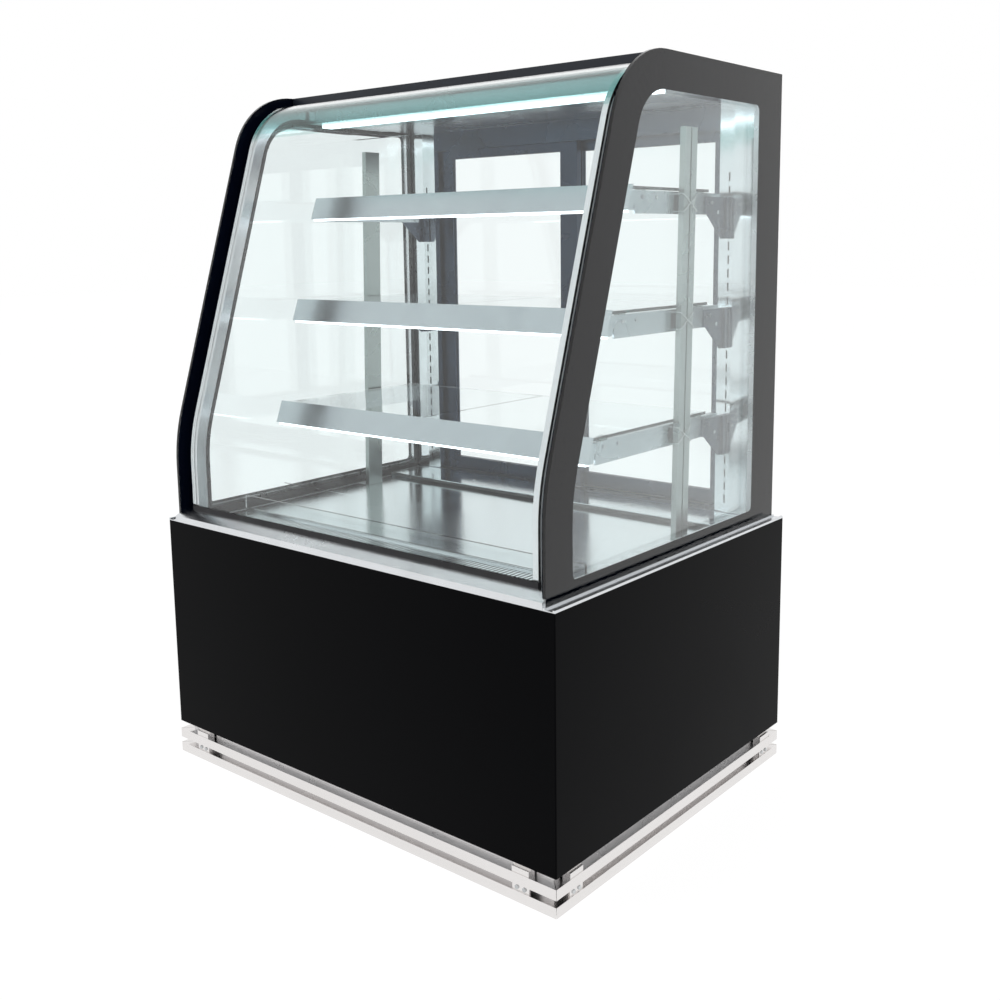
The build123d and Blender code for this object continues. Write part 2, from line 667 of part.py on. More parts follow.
BEZEL_OUT = REAR_PANEL_OUT + BEZEL_THICKNESS
HOUSING_HALF = ROCKER_WIDTH / 2 + ROCKER_GAP
HOUSING_R = ROCKER_BODY_R + ROCKER_GAP
HOUSING_DEEP = REAR_PANEL_OUT - HOUSING_R - ROCKER_WALL
with BuildPart() as control_panel:
    block((-INSIDE_X, REAR_PANEL_IN, CONTROL_BOTTOM), (INSIDE_X, REAR_PANEL_OUT, BASE_TOP))
    for x in ROCKER_X:
        # walls behind the panel carry the rocker's pin, a bezel frames it outside
        control_block(x, HOUSING_HALF + ROCKER_WALL, HOUSING_R + ROCKER_WALL, HOUSING_DEEP, REAR_PANEL_OUT)
        control_block(x, HOUSING_HALF + ROCKER_BEZEL, HOUSING_R + ROCKER_BEZEL, REAR_PANEL_OUT, BEZEL_OUT)
        for radius, half in (
            (HOUSING_R, HOUSING_HALF),
            (ROCKER_PIN_R + SPINDLE_GAP, HOUSING_HALF + ROCKER_WALL),
        ):
            with BuildSketch(Plane.YZ.offset(x - half)):
                with Locations((REAR_PANEL_OUT, CONTROL_Z)):
                    Circle(radius)
            extrude(amount=2 * half, mode=Mode.SUBTRACT)
    # openings for the controller and the mains inlet
    for x, width, height in (
        (CONTROLLER_X, CONTROLLER_BODY_WIDTH, CONTROLLER_BODY_HEIGHT),
        (INLET_X, INLET_WIDTH, INLET_HEIGHT),
    ):
        control_block(
            x, width / 2 + SEAT_GAP, height / 2 + SEAT_GAP, REAR_PANEL_IN, REAR_PANEL_OUT, mode=Mode.SUBTRACT
        )
    screw_holes(SERVICE_SCREWS, PANEL_THICKNESS)
save(control_panel, "control_panel")

BUTTON_X = [CONTROLLER_X + BUTTON_OFFSET + step * BUTTON_PITCH for step in range(3)]
BUTTON_BORE = BUTTON_LENGTH - BUTTON_PROUD + BUTTON_TRAVEL + SEAT_GAP
with BuildPart() as controller:
    control_block(CONTROLLER_X, CONTROLLER_WIDTH / 2, CONTROLLER_HEIGHT / 2, REAR_PANEL_OUT, BEZEL_OUT)
    fillet(controller.edges().filter_by(Axis.Y), CONTROLLER_CORNER_R)
    control_block(
        CONTROLLER_X, CONTROLLER_BODY_WIDTH / 2, CONTROLLER_BODY_HEIGHT / 2, BEZEL_OUT - CONTROLLER_DEPTH, REAR_PANEL_OUT
    )
    control_block(
        CONTROLLER_X - DISPLAY_OFFSET, DISPLAY_WIDTH / 2, DISPLAY_HEIGHT / 2,
        BEZEL_OUT - DISPLAY_DEPTH, BEZEL_OUT, mode=Mode.SUBTRACT,
    )
    with BuildSketch(Plane.XZ.offset(-BEZEL_OUT)):
        with Locations(*[(x, CONTROL_Z) for x in BUTTON_X]):
            Circle(BUTTON_R + BUTTON_GAP)
    extrude(amount=BUTTON_BORE, mode=Mode.SUBTRACT)
save(controller, "controller")

for name, x in zip(("button_set", "button_up", "button_down"), BUTTON_X):
    with BuildPart() as button:
        with BuildSketch(Plane.XZ.offset(-BEZEL_OUT - BUTTON_PROUD)):
            with Locations((x, CONTROL_Z)):
                Circle(BUTTON_R)
        extrude(amount=BUTTON_LENGTH)
        fillet(button.edges().group_by(Axis.Y)[-1], BUTTON_EDGE_R)
    save(button, name)

# rockers: drums on a pin, cut to a shallow V on the outside and tilted to one stop
for name, x in zip(("power_rocker", "light_rocker"), ROCKER_X):
    with BuildPart() as rocker:
        with BuildSketch(Plane.YZ.offset(x - ROCKER_WIDTH / 2)):
            with Locations((REAR_PANEL_OUT, CONTROL_Z)):
                Circle(ROCKER_BODY_R)
            with Locations(Location((REAR_PANEL_OUT, CONTROL_Z, 0), (0, 0, -ROCKER_TILT))):
                Polygon(
                    (ROCKER_SINK, 0),
                    (ROCKER_SINK + ROCKER_DISH, -ROCKER_BODY_R),
                    (2 * ROCKER_BODY_R, -ROCKER_BODY_R),
                    (2 * ROCKER_BODY_R, ROCKER_BODY_R),
                    (ROCKER_SINK + ROCKER_DISH, ROCKER_BODY_R),
                    align=None,
                    mode=Mode.SUBTRACT,
                )
        extrude(amount=ROCKER_WIDTH)
        pin_half = HOUSING_HALF + ROCKER_WALL - SEAT_GAP
        with BuildSketch(Plane.YZ.offset(x - pin_half)):
            with Locations((REAR_PANEL_OUT, CONTROL_Z)):
                Circle(ROCKER_PIN_R)
        extrude(amount=2 * pin_half)
    save(rocker, name)

INLET_FLOOR = BEZEL_OUT - INLET_RECESS
with BuildPart() as power_inlet:
    control_block(INLET_X, INLET_WIDTH / 2, INLET_HEIGHT / 2, BEZEL_OUT - INLET_DEPTH, REAR_PANEL_OUT)
    control_block(
        INLET_X, INLET_WIDTH / 2 + INLET_FLANGE, INLET_HEIGHT / 2 + INLET_FLANGE, REAR_PANEL_OUT, BEZEL_OUT
    )
    control_block(
        INLET_X, INLET_RECESS_WIDTH / 2, INLET_RECESS_HEIGHT / 2, INLET_FLOOR, BEZEL_OUT, mode=Mode.SUBTRACT
    )
    with BuildSketch(Plane.XZ.offset(-INLET_FLOOR)):
        with Locations(
            (INLET_X - PIN_SPACING, CONTROL_Z - PIN_DROP),
            (INLET_X, CONTROL_Z + PIN_DROP),
            (INLET_X + PIN_SPACING, CONTROL_Z - PIN_DROP),
        ):
            Circle(PIN_R)
    extrude(amount=-PIN_LENGTH)
save(power_inlet, "power_inlet")

# ---------------------------------------------------------------------------
# Cold well and cooling
# ---------------------------------------------------------------------------

WELL_X = TUB_HALF_WIDTH - TUB_WALL
WELL_FLOOR = TUB_BOTTOM + TUB_FLOOR
with BuildPart() as cold_tub:
    block((-TUB_HALF_WIDTH, LEDGE_REAR, TUB_BOTTOM), (TUB_HALF_WIDTH, SILL_FRONT, BASE_TOP))
    block(
        (-WELL_X, LEDGE_REAR + TUB_WALL, WELL_FLOOR),
        (WELL_X, SILL_FRONT - TUB_WALL, BASE_TOP),
        mode=Mode.SUBTRACT,
    )
save(cold_tub, "cold_tub")

with BuildPart() as evaporator_coil:
    block(
        (-EVAPORATOR_WIDTH / 2, EVAPORATOR_Y - EVAPORATOR_DEPTH / 2, WELL_FLOOR),
        (EVAPORATOR_WIDTH / 2, EVAPORATOR_Y + EVAPORATOR_DEPTH / 2, WELL_FLOOR + EVAPORATOR_HEIGHT),
    )
    with BuildSketch(Plane.YZ.offset(-EVAPORATOR_WIDTH / 2 - COIL_END_REACH)):
        with Locations((EVAPORATOR_Y, WELL_FLOOR + EVAPORATOR_HEIGHT / 2)):
            with GridLocations(COIL_TUBE_PITCH, EVAPORATOR_HEIGHT / 2, COIL_TUBE_ROWS, 2):
                Circle(COIL_TUBE_R)
    extrude(amount=EVAPORATOR_WIDTH + 2 * COIL_END_REACH)
save(evaporator_coil, "evaporator_coil")


def draw_fan(radius):
    """A bored hub with pitched blades, about the z axis of the part's own plane."""
    Cylinder(radius * FAN_HUB_SHARE, FAN_HUB_LENGTH)
    with PolarLocations(radius / 2, FAN_BLADES):
        Box(radius, radius * BLADE_CHORD, FAN_BLADE_THICKNESS, rotation=(FAN_BLADE_PITCH, 0, 0))
    Cylinder(radius, FAN_HUB_LENGTH, mode=Mode.INTERSECT)
    Cylinder(SPINDLE_R + SPINDLE_GAP, FAN_HUB_LENGTH, mode=Mode.SUBTRACT)


def draw_fan_mount(x, z, plate_front, plate_thickness, fan_r, motor_r):
    """Open a fan's ring in a plate, with a cross that carries its motor and spindle."""
    ring_r = fan_r + FAN_RING_GAP
    with BuildSketch(Plane.XZ.offset(-plate_front)) as ring:
        with Locations((x, z)):
            Circle(ring_r)
            Rectangle(2 * ring_r, SPIDER_WIDTH, mode=Mode.SUBTRACT)
            Rectangle(SPIDER_WIDTH, 2 * ring_r, mode=Mode.SUBTRACT)
    extrude(ring.sketch, amount=-plate_thickness, mode=Mode.SUBTRACT)
    for radius, length in (
        (motor_r, MOTOR_LENGTH),
        (SPINDLE_R, -plate_thickness - FAN_HUB_LENGTH - 2 * FAN_STANDOFF),
    ):
        with BuildSketch(Plane.XZ.offset(-plate_front)) as end:
            with Locations((x, z)):
                Circle(radius)
        extrude(end.sketch, amount=length)


WELL_MIDDLE = (WELL_FLOOR + BASE_TOP) / 2
FAN_PANEL_FRONT = FAN_PANEL_Y - FAN_PANEL_THICKNESS
with BuildPart() as fan_panel:
    block((-WELL_X, FAN_PANEL_FRONT, WELL_FLOOR), (WELL_X, FAN_PANEL_Y, BASE_TOP))
    draw_fan_mount(0, WELL_MIDDLE, FAN_PANEL_FRONT, FAN_PANEL_THICKNESS, EVAPORATOR_FAN_R, SMALL_MOTOR_R)
save(fan_panel, "fan_panel")

evaporator_fan_seat = Plane(
    origin=(0, FAN_PANEL_Y + FAN_STANDOFF + FAN_HUB_LENGTH / 2, WELL_MIDDLE), z_dir=(0, 1, 0)
)
with BuildPart(evaporator_fan_seat) as evaporator_fan:
    draw_fan(EVAPORATOR_FAN_R)
save(evaporator_fan, "evaporator_fan")

CONDENSER_BOTTOM = TRAY_TOP + CONDENSER_FEET
CONDENSER_TOP = CONDENSER_BOTTOM + CONDENSER_HEIGHT
CONDENSER_FRONT = CONDENSER_Y - CONDENSER_THICKNESS / 2
CONDENSER_LEFT = CONDENSER_X - CONDENSER_WIDTH / 2
CONDENSER_RIGHT = CONDENSER_X + CONDENSER_WIDTH / 2
CONDENSER_Z = CONDENSER_BOTTOM + CONDENSER_HEIGHT / 2
with BuildPart() as condenser_coil:
    block(
        (CONDENSER_LEFT, CONDENSER_FRONT, CONDENSER_BOTTOM),
        (CONDENSER_RIGHT, CONDENSER_Y + CONDENSER_THICKNESS / 2, CONDENSER_TOP),
    )
    # feet on the tray
    for x in (CONDENSER_LEFT, CONDENSER_RIGHT - CONDENSER_FEET):
        block(
            (x, CONDENSER_FRONT, TRAY_TOP),
            (x + CONDENSER_FEET, CONDENSER_Y + CONDENSER_THICKNESS / 2, CONDENSER_BOTTOM),
        )
save(condenser_coil, "condenser_coil")

SHROUD_FRONT = CONDENSER_FRONT - SHROUD_DEPTH
with BuildPart() as condenser_shroud:
    block((CONDENSER_LEFT, SHROUD_FRONT, CONDENSER_BOTTOM), (CONDENSER_RIGHT, CONDENSER_FRONT, CONDENSER_TOP))
    block(
        (CONDENSER_LEFT + SHROUD_WALL, SHROUD_FRONT + SHROUD_WALL, CONDENSER_BOTTOM + SHROUD_WALL),
        (CONDENSER_RIGHT - SHROUD_WALL, CONDENSER_FRONT, CONDENSER_TOP - SHROUD_WALL),
        mode=Mode.SUBTRACT,
    )
    draw_fan_mount(CONDENSER_X, CONDENSER_Z, SHROUD_FRONT, SHROUD_WALL, CONDENSER_FAN_R, MOTOR_R)
save(condenser_shroud, "condenser_shroud")

condenser_fan_seat = Plane(
    origin=(CONDENSER_X, SHROUD_FRONT + SHROUD_WALL + FAN_STANDOFF + FAN_HUB_LENGTH / 2, CONDENSER_Z),
    z_dir=(0, 1, 0),
)
with BuildPart(condenser_fan_seat) as condenser_fan:
    draw_fan(CONDENSER_FAN_R)
save(condenser_fan, "condenser_fan")

COMPRESSOR_PLATE_Z = TRAY_TOP + COMPRESSOR_FOOT_HEIGHT
COMPRESSOR_TOP = COMPRESSOR_PLATE_Z + COMPRESSOR_PLATE + COMPRESSOR_HEIGHT
with BuildPart() as compressor:
    with BuildSketch(Plane.XY.offset(COMPRESSOR_PLATE_Z)):
        with Locations((COMPRESSOR_X, COMPRESSOR_Y)):
            RectangleRounded(COMPRESSOR_PLATE_SIZE, COMPRESSOR_PLATE_SIZE, COMPRESSOR_FOOT_R)
    extrude(amount=COMPRESSOR_PLATE)
    with BuildSketch(Plane.XY.offset(COMPRESSOR_PLATE_Z + COMPRESSOR_PLATE)):
        with Locations((COMPRESSOR_X, COMPRESSOR_Y)):
            Circle(COMPRESSOR_R)
    extrude(amount=COMPRESSOR_HEIGHT)
    fillet(compressor.edges().filter_by(GeomType.CIRCLE).sort_by(Axis.Z)[-1], COMPRESSOR_DOME)
    foot_spread = COMPRESSOR_PLATE_SIZE - 2 * COMPRESSOR_FOOT_R
    with BuildSketch(Plane.XY.offset(TRAY_TOP)):
        with Locations((COMPRESSOR_X, COMPRESSOR_Y)):
            with GridLocations(foot_spread, foot_spread, 2, 2):
                Circle(COMPRESSOR_FOOT_R)
    extrude(amount=COMPRESSOR_FOOT_HEIGHT)
save(compressor, "compressor")

# discharge line to the condenser's side and suction line up to the tub
with BuildPart() as refrigerant_pipes:
    for route in (
        [
            (COMPRESSOR_X - COMPRESSOR_R, COMPRESSOR_Y, DISCHARGE_Z),
            (PIPE_CORNER_X, COMPRESSOR_Y, DISCHARGE_Z),
            (PIPE_CORNER_X, CONDENSER_Y, DISCHARGE_Z),
            (CONDENSER_RIGHT, CONDENSER_Y, DISCHARGE_Z),
        ],
        [
            (COMPRESSOR_X, COMPRESSOR_Y, COMPRESSOR_TOP),
            (COMPRESSOR_X, COMPRESSOR_Y, SUCTION_BEND_Z),
            (COMPRESSOR_X, SUCTION_Y, SUCTION_BEND_Z),
            (COMPRESSOR_X, SUCTION_Y, TUB_BOTTOM),
        ],
    ):
        with BuildLine() as run:
            FilletPolyline(*route, radius=PIPE_BEND_R)
        with BuildSketch(Plane(origin=route[0], z_dir=run.line % 0)):
            Circle(PIPE_R)
        sweep(path=run.line)
save(refrigerant_pipes, "refrigerant_pipes")

with BuildPart() as drain_tray:
    half_x = DRAIN_TRAY_WIDTH / 2
    half_y = DRAIN_TRAY_DEPTH / 2
    block((-half_x, DRAIN_TRAY_Y - half_y, TRAY_TOP), (half_x, DRAIN_TRAY_Y + half_y, TRAY_TOP + DRAIN_TRAY_HEIGHT))
    offset(amount=-DRAIN_TRAY_WALL, openings=drain_tray.faces().sort_by(Axis.Z)[-1:])
save(drain_tray, "drain_tray")

# ---------------------------------------------------------------------------
# Deck
# ---------------------------------------------------------------------------


def cut_sides(inner, outer, front, rear, top):
    """Cut the same notch from both ends of a piece that lies on the cabinet."""
    for low, high in ((-outer, -inner), (inner, outer)):
        block((low, front, BASE_TOP), (high, rear, top), mode=Mode.SUBTRACT)


with BuildPart() as front_ledge:
    with BuildSketch(Plane.YZ.offset(-END_X)):
        with BuildLine():
            Polyline(
                (FRONT, BASE_TOP),
                (FRONT, BASE_TOP + LEDGE_LIP),
                (FRONT + LEDGE_SLOPE, LEDGE_TOP),
                (LEDGE_REAR, LEDGE_TOP),
                (LEDGE_REAR, BASE_TOP),
                close=True,
            )
        make_face()
    extrude(amount=2 * END_X)
    # the outer panes stand beside the ledge and behind its ends
    cut_sides(PANE_INSIDE - PRINT - SEAT_GAP, END_X, CASE_FRONT - SEAT_GAP, LEDGE_REAR, LEDGE_TOP)
save(front_ledge, "front_ledge")

SIDE_LEDGE_WIDTH = SIDE - END_X - SEAT_GAP
with BuildPart() as side_ledges:
    with BuildSketch(Plane.XZ.offset(-REAR)):
        with Locations((SIDE - SIDE_LEDGE_WIDTH / 2, BASE_TOP + SIDE_LEDGE_HEIGHT / 2)):
            Rectangle(SIDE_LEDGE_WIDTH, SIDE_LEDGE_HEIGHT)
        with Locations((SIDE - SIDE_LEDGE_WIDTH / 2, BASE_TOP + SIDE_LEDGE_FLOOR + SIDE_LEDGE_HEIGHT / 2)):
            Rectangle(SIDE_LEDGE_WIDTH - 2 * SIDE_LEDGE_RIB, SIDE_LEDGE_HEIGHT, mode=Mode.SUBTRACT)
    extrude(amount=DEPTH)
    mirror(about=Plane.YZ)
save(side_ledges, "side_ledges")

# the deck is notched at each side so that it lifts out past the pole's foot
NOTCH_HALF = POLE_WIDTH / 2 + DECK_NOTCH_GAP
NOTCH_Y = POLE_Y - POLE_LEAN
with BuildPart() as deck_panel:
    block(
        (-DECK_HALF_WIDTH, GRILLE_REAR + DECK_SEAM, BASE_TOP),
        (DECK_HALF_WIDTH, DECK_PANEL_REAR, DECK_TOP),
    )
    for low, high in (
        (-DECK_HALF_WIDTH, DECK_NOTCH_GAP - POLE_INNER_X),
        (POLE_INNER_X - DECK_NOTCH_GAP, DECK_HALF_WIDTH),
    ):
        block(
            (low, NOTCH_Y - NOTCH_HALF, BASE_TOP),
            (high, NOTCH_Y + NOTCH_HALF, DECK_TOP),
            mode=Mode.SUBTRACT,
        )
save(deck_panel, "deck_panel")

FENCE_FRONT = FENCE_Y - FENCE_THICKNESS / 2
FENCE_REAR = FENCE_Y + FENCE_THICKNESS / 2
SLOT_SPAN = 2 * (DECK_HALF_WIDTH - GRILLE_MARGIN)
with BuildPart() as front_grille:
    block((-DECK_HALF_WIDTH, GRILLE_FRONT, BASE_TOP), (DECK_HALF_WIDTH, GRILLE_REAR, DECK_TOP))
    with BuildSketch(Plane.XY.offset(BASE_TOP)):
        with Locations((0, GRILLE_SLOT_Y)):
            with GridLocations(GRILLE_SLOT_PITCH, 0, int(SLOT_SPAN / GRILLE_SLOT_PITCH), 1):
                SlotOverall(GRILLE_SLOT_LENGTH, GRILLE_SLOT_WIDTH, rotation=90)
    extrude(amount=DECK_SHEET, mode=Mode.SUBTRACT)
    # two low ribs that hold the fence's foot
    for y in (FENCE_FRONT - FENCE_RIB, FENCE_REAR):
        block((-DECK_HALF_WIDTH, y, DECK_TOP), (DECK_HALF_WIDTH, y + FENCE_RIB, DECK_TOP + FENCE_FOOT_HEIGHT))
save(front_grille, "front_grille")

with BuildPart() as air_fence:
    block((-DECK_HALF_WIDTH, FENCE_FRONT, DECK_TOP), (DECK_HALF_WIDTH, FENCE_REAR, DECK_TOP + FENCE_HEIGHT))
save(air_fence, "air_fence")

DUCT_REAR = SILL_FRONT - SEAT_GAP
DUCT_TOP = DECK_TOP + DUCT_RISE
with BuildPart() as duct_cover:
    with BuildSketch(Plane.YZ.offset(-DECK_HALF_WIDTH)):
        with BuildLine():
            Polyline(
                (DECK_PANEL_REAR + DECK_SEAM, BASE_TOP),
                (DUCT_FRONT + DUCT_LEAN, BASE_TOP),
                (DUCT_FRONT + DUCT_LEAN, DECK_TOP),
                (DECK_PANEL_REAR + DECK_SEAM, DECK_TOP),
                close=True,
            )
        make_face()
        with BuildLine():
            Polyline(
                (DUCT_FRONT, DUCT_TOP - DECK_SHEET),
                (DUCT_REAR - DECK_SHEET, DUCT_TOP - DECK_SHEET),
                (DUCT_REAR - DECK_SHEET, BASE_TOP),
                (DUCT_REAR, BASE_TOP),
                (DUCT_REAR, DUCT_TOP),
                (DUCT_FRONT, DUCT_TOP),
                close=True,
            )
        make_face()
    extrude(amount=2 * DECK_HALF_WIDTH)
    # end cheeks join the flat strip to the raised cover
    for x in (-DECK_HALF_WIDTH, DECK_HALF_WIDTH - DECK_SHEET):
        block((x, DUCT_FRONT, BASE_TOP), (x + DECK_SHEET, DUCT_REAR, DUCT_TOP))
    vent_x = DECK_HALF_WIDTH - DUCT_VENT_LENGTH
    with BuildSketch(Plane.XY.offset(DUCT_TOP)):
        with Locations((-vent_x, (DUCT_FRONT + DUCT_REAR) / 2), (vent_x, (DUCT_FRONT + DUCT_REAR) / 2)):
            with GridLocations(0, DUCT_VENT_PITCH, 1, DUCT_VENTS):
                SlotOverall(DUCT_VENT_LENGTH, DUCT_VENT_WIDTH)
    extrude(amount=-DECK_SHEET, mode=Mode.SUBTRACT)
    screw_holes(DUCT_SCREWS, DECK_SHEET)
save(duct_cover, "duct_cover")

SHOE_GROOVE = SHOE_THICKNESS + SLIDE_GAP
with BuildPart() as door_sill:
    block((-JAMB_OUTER_X, SILL_FRONT, BASE_TOP), (JAMB_OUTER_X, REAR, SILL_TOP))
    for y in DOOR_TRACK_Y:
        block(
            (-JAMB_INNER_X, y - SHOE_GROOVE / 2, SILL_TOP - TRACK_DEPTH),
            (JAMB_INNER_X, y + SHOE_GROOVE / 2, SILL_TOP),
            mode=Mode.SUBTRACT,
        )
save(door_sill, "door_sill")

# ---------------------------------------------------------------------------
# End glazing
# ---------------------------------------------------------------------------

INNER_PANE_X = END_X - GLAZING_THICKNESS
INNER_PANE_INSET = CHANNEL_INSET + CHANNEL_DEPTH + SEAT_GAP
with BuildPart() as end_glass_right:
    with BuildSketch(Plane.YZ.offset(PANE_INSIDE)):
        outline_face(0, BASE_TOP, REAR)
    extrude(amount=PANE)
    with BuildSketch(Plane.YZ.offset(INNER_PANE_X)):
        outline_face(INNER_PANE_INSET, BASE_TOP, REAR)
    extrude(amount=PANE)
save(end_glass_right, "end_glass_right")

with BuildPart() as end_glass_left:
    mirror(end_glass_right.part, about=Plane.YZ)
save(end_glass_left, "end_glass_left")

WINDOW_BACK = REAR - WINDOW_REAR
WINDOW_FOOT = BASE_TOP + WINDOW_BOTTOM
SEAL_X = INNER_PANE_X + PANE
SEAL_DEPTH = PANE_INSIDE - PRINT - SEAL_X
SPACER_REVEAL = WINDOW_BORDER - SPACER_INSET
SEAL_REVEAL = SPACER_REVEAL + SEAT_GAP


def window_face(reveal, mode=Mode.ADD):
    """The window of an end pane, grown by reveal on every side."""
    outline_face(WINDOW_BORDER - reveal, WINDOW_FOOT - reveal, WINDOW_BACK + reveal, WINDOW_LIFT, mode)


with BuildPart() as end_borders:
    # printed border on the inside of each outer pane
    with BuildSketch(Plane.YZ.offset(PANE_INSIDE - PRINT)) as border:
        outline_face(0, BASE_TOP, REAR)
        window_face(0, mode=Mode.SUBTRACT)
        window_foot = border.vertices().filter_by_position(Axis.Y, WINDOW_FOOT - PRINT, WINDOW_FOOT + PRINT)
        fillet(window_foot, WINDOW_CORNER)
        window_back = border.vertices().filter_by_position(Axis.X, WINDOW_BACK - PRINT, WINDOW_BACK + PRINT)
        fillet(window_back.sort_by(Axis.Y)[-1], WINDOW_CORNER)
    extrude(amount=PRINT)
    # edge seal between the panes
    with BuildSketch(Plane.YZ.offset(SEAL_X)):
        outline_face(CHANNEL_INSET, BASE_TOP, REAR)
        window_face(SEAL_REVEAL, mode=Mode.SUBTRACT)
    extrude(amount=SEAL_DEPTH)
    mirror(about=Plane.YZ)
save(end_borders, "end_borders")

with BuildPart() as end_spacers:
    with BuildSketch(Plane.YZ.offset(SEAL_X)):
        window_face(SPACER_REVEAL)
        window_face(SPACER_REVEAL - SPACER_WIDTH, mode=Mode.SUBTRACT)
    extrude(amount=SEAL_DEPTH)
    mirror(about=Plane.YZ)
save(end_spacers, "end_spacers")

with BuildPart() as end_channels:
    with BuildSketch(Plane.YZ.offset(CHANNEL_INNER_X)):
        outline_strip(CHANNEL_INSET, CHANNEL_DEPTH, BASE_TOP, HEADER_FRONT - SLIDE_GAP)
    extrude(amount=CHANNEL_OUTER_X - CHANNEL_INNER_X)
    with BuildSketch(Plane.YZ.offset(FRONT_GLASS_HALF_WIDTH)):
        outline_strip(CHANNEL_INSET, CHANNEL_GROOVE_DEPTH, BASE_TOP, HEADER_FRONT - SLIDE_GAP)
    extrude(amount=CHANNEL_GROOVE, mode=Mode.SUBTRACT)
    mirror(about=Plane.YZ)
save(end_channels, "end_channels")

# ---------------------------------------------------------------------------
# Front glass, top and canopy
# ---------------------------------------------------------------------------

GASKET_TOP = LEDGE_TOP + GASKET_HEIGHT
TOP_FRONT = CROWN_Y + TOP_GASKET
with BuildPart() as front_glass:
    with BuildSketch(Plane.YZ.offset(-FRONT_GLASS_HALF_WIDTH)):
        outline_strip(GLASS_INSET, FRONT_GLASS, GASKET_TOP, CROWN_Y)
    extrude(amount=2 * FRONT_GLASS_HALF_WIDTH)
save(front_glass, "front_glass")

with BuildPart() as glass_gaskets:
    block(
        (-FRONT_GLASS_HALF_WIDTH, FRONT + LEDGE_SLOPE, LEDGE_TOP),
        (FRONT_GLASS_HALF_WIDTH, LEDGE_REAR, GASKET_TOP),
    )
    block(
        (-FRONT_GLASS_HALF_WIDTH, CROWN_Y, HEIGHT - GLASS_INSET - FRONT_GLASS),
        (FRONT_GLASS_HALF_WIDTH, TOP_FRONT, HEIGHT - GLASS_INSET),
    )
save(glass_gaskets, "glass_gaskets")

TOP_HALF_WIDTH = PANE_INSIDE - PRINT - SEAT_GAP
with BuildPart() as top_panel:
    block((-TOP_HALF_WIDTH, TOP_FRONT, TOP_UNDERSIDE), (TOP_HALF_WIDTH, REAR, HEIGHT))
    # front edge folded down to the end of the bent glass
    block(
        (-TOP_HALF_WIDTH, TOP_FRONT, HEIGHT - GLASS_INSET - FRONT_GLASS),
        (TOP_HALF_WIDTH, TOP_FRONT + TOP_PANEL_THICKNESS, TOP_UNDERSIDE),
    )
save(top_panel, "top_panel")

with BuildPart() as canopy_box:
    block((-CANOPY_HALF_WIDTH, CANOPY_FRONT, CANOPY_BOTTOM), (CANOPY_HALF_WIDTH, HEADER_FRONT - SEAT_GAP, TOP_UNDERSIDE))
save(canopy_box, "canopy_box")

with BuildPart() as lamp_strips:
    lamp_half = CANOPY_HALF_WIDTH - LAMP_END
    block(
        (-lamp_half, LAMP_Y - LAMP_WIDTH / 2, CANOPY_BOTTOM - LAMP_HEIGHT),
        (lamp_half, LAMP_Y + LAMP_WIDTH / 2, CANOPY_BOTTOM),
    )
    # a slim strip under each shelf's light rail
    lamp_half = LIGHT_RAIL_HALF_WIDTH - LAMP_END
    for top, front in zip(SHELF_TOPS, SHELF_FRONTS):
        foot_y = front - LIGHT_RAIL_LEAN + LIGHT_RAIL_DEPTH / 2
        foot_z = top + LIGHT_RAIL_RISE - LIGHT_RAIL_HEIGHT
        block(
            (-lamp_half, foot_y - SHELF_LAMP_WIDTH / 2, foot_z - SHELF_LAMP_HEIGHT),
            (lamp_half, foot_y + SHELF_LAMP_WIDTH / 2, foot_z),
        )
save(lamp_strips, "lamp_strips")

# ---------------------------------------------------------------------------
# Rear frame
# ---------------------------------------------------------------------------

DOOR_GROOVE = DOOR_THICKNESS + 2 * SLIDE_GAP
with BuildPart() as door_header:
    block((-JAMB_OUTER_X, HEADER_FRONT, HEADER_BOTTOM), (JAMB_OUTER_X, REAR, TOP_UNDERSIDE))
    for y in DOOR_TRACK_Y:
        block(
            (-JAMB_INNER_X, y - DOOR_GROOVE / 2, HEADER_BOTTOM),
            (JAMB_INNER_X, y + DOOR_GROOVE / 2, HEADER_BOTTOM + HEADER_TRACK_DEPTH),
            mode=Mode.SUBTRACT,
        )
save(door_header, "door_header")

with BuildPart() as door_jambs:
    block((JAMB_INNER_X, HEADER_FRONT, SILL_TOP), (JAMB_OUTER_X, REAR, HEADER_BOTTOM))
    mirror(about=Plane.YZ)
    screw_holes(JAMB_SCREWS, SCREW_LENGTH)
save(door_jambs, "door_jambs")

# folded posts with a shallow ridge, pierced with slots for the shelf brackets
with BuildPart() as rear_posts:
    with BuildSketch(Plane.XY.offset(SILL_TOP)) as post_plan:
        with BuildLine():
            Polyline(
                (JAMB_OUTER_X, POST_FRONT + POST_FACET_SETBACK),
                (POST_RIDGE, POST_FRONT),
                (POST_INNER_X, POST_FRONT + POST_FACET_SETBACK),
                (POST_INNER_X, HEADER_FRONT),
                (JAMB_OUTER_X, HEADER_FRONT),
                close=True,
            )
        make_face()
        offset(amount=-POST_SHEET, mode=Mode.SUBTRACT)
    extrude(amount=CANOPY_BOTTOM - SILL_TOP)
    with BuildSketch(Plane.XZ.offset(-POST_FRONT)):
        with Locations(*[(SLOT_X, z) for z in SLOT_HEIGHTS]):
            Rectangle(SLOT_WIDTH, SLOT_LENGTH)
    extrude(amount=-POST_DEPTH / 2, mode=Mode.SUBTRACT)
    mirror(about=Plane.YZ)
save(rear_posts, "rear_posts")


def pole_middle(z):
    """Where the middle of a leaning pole is, at height z."""
    return POLE_Y - POLE_LEAN * (POLE_TOP - z) / (POLE_TOP - BASE_TOP)


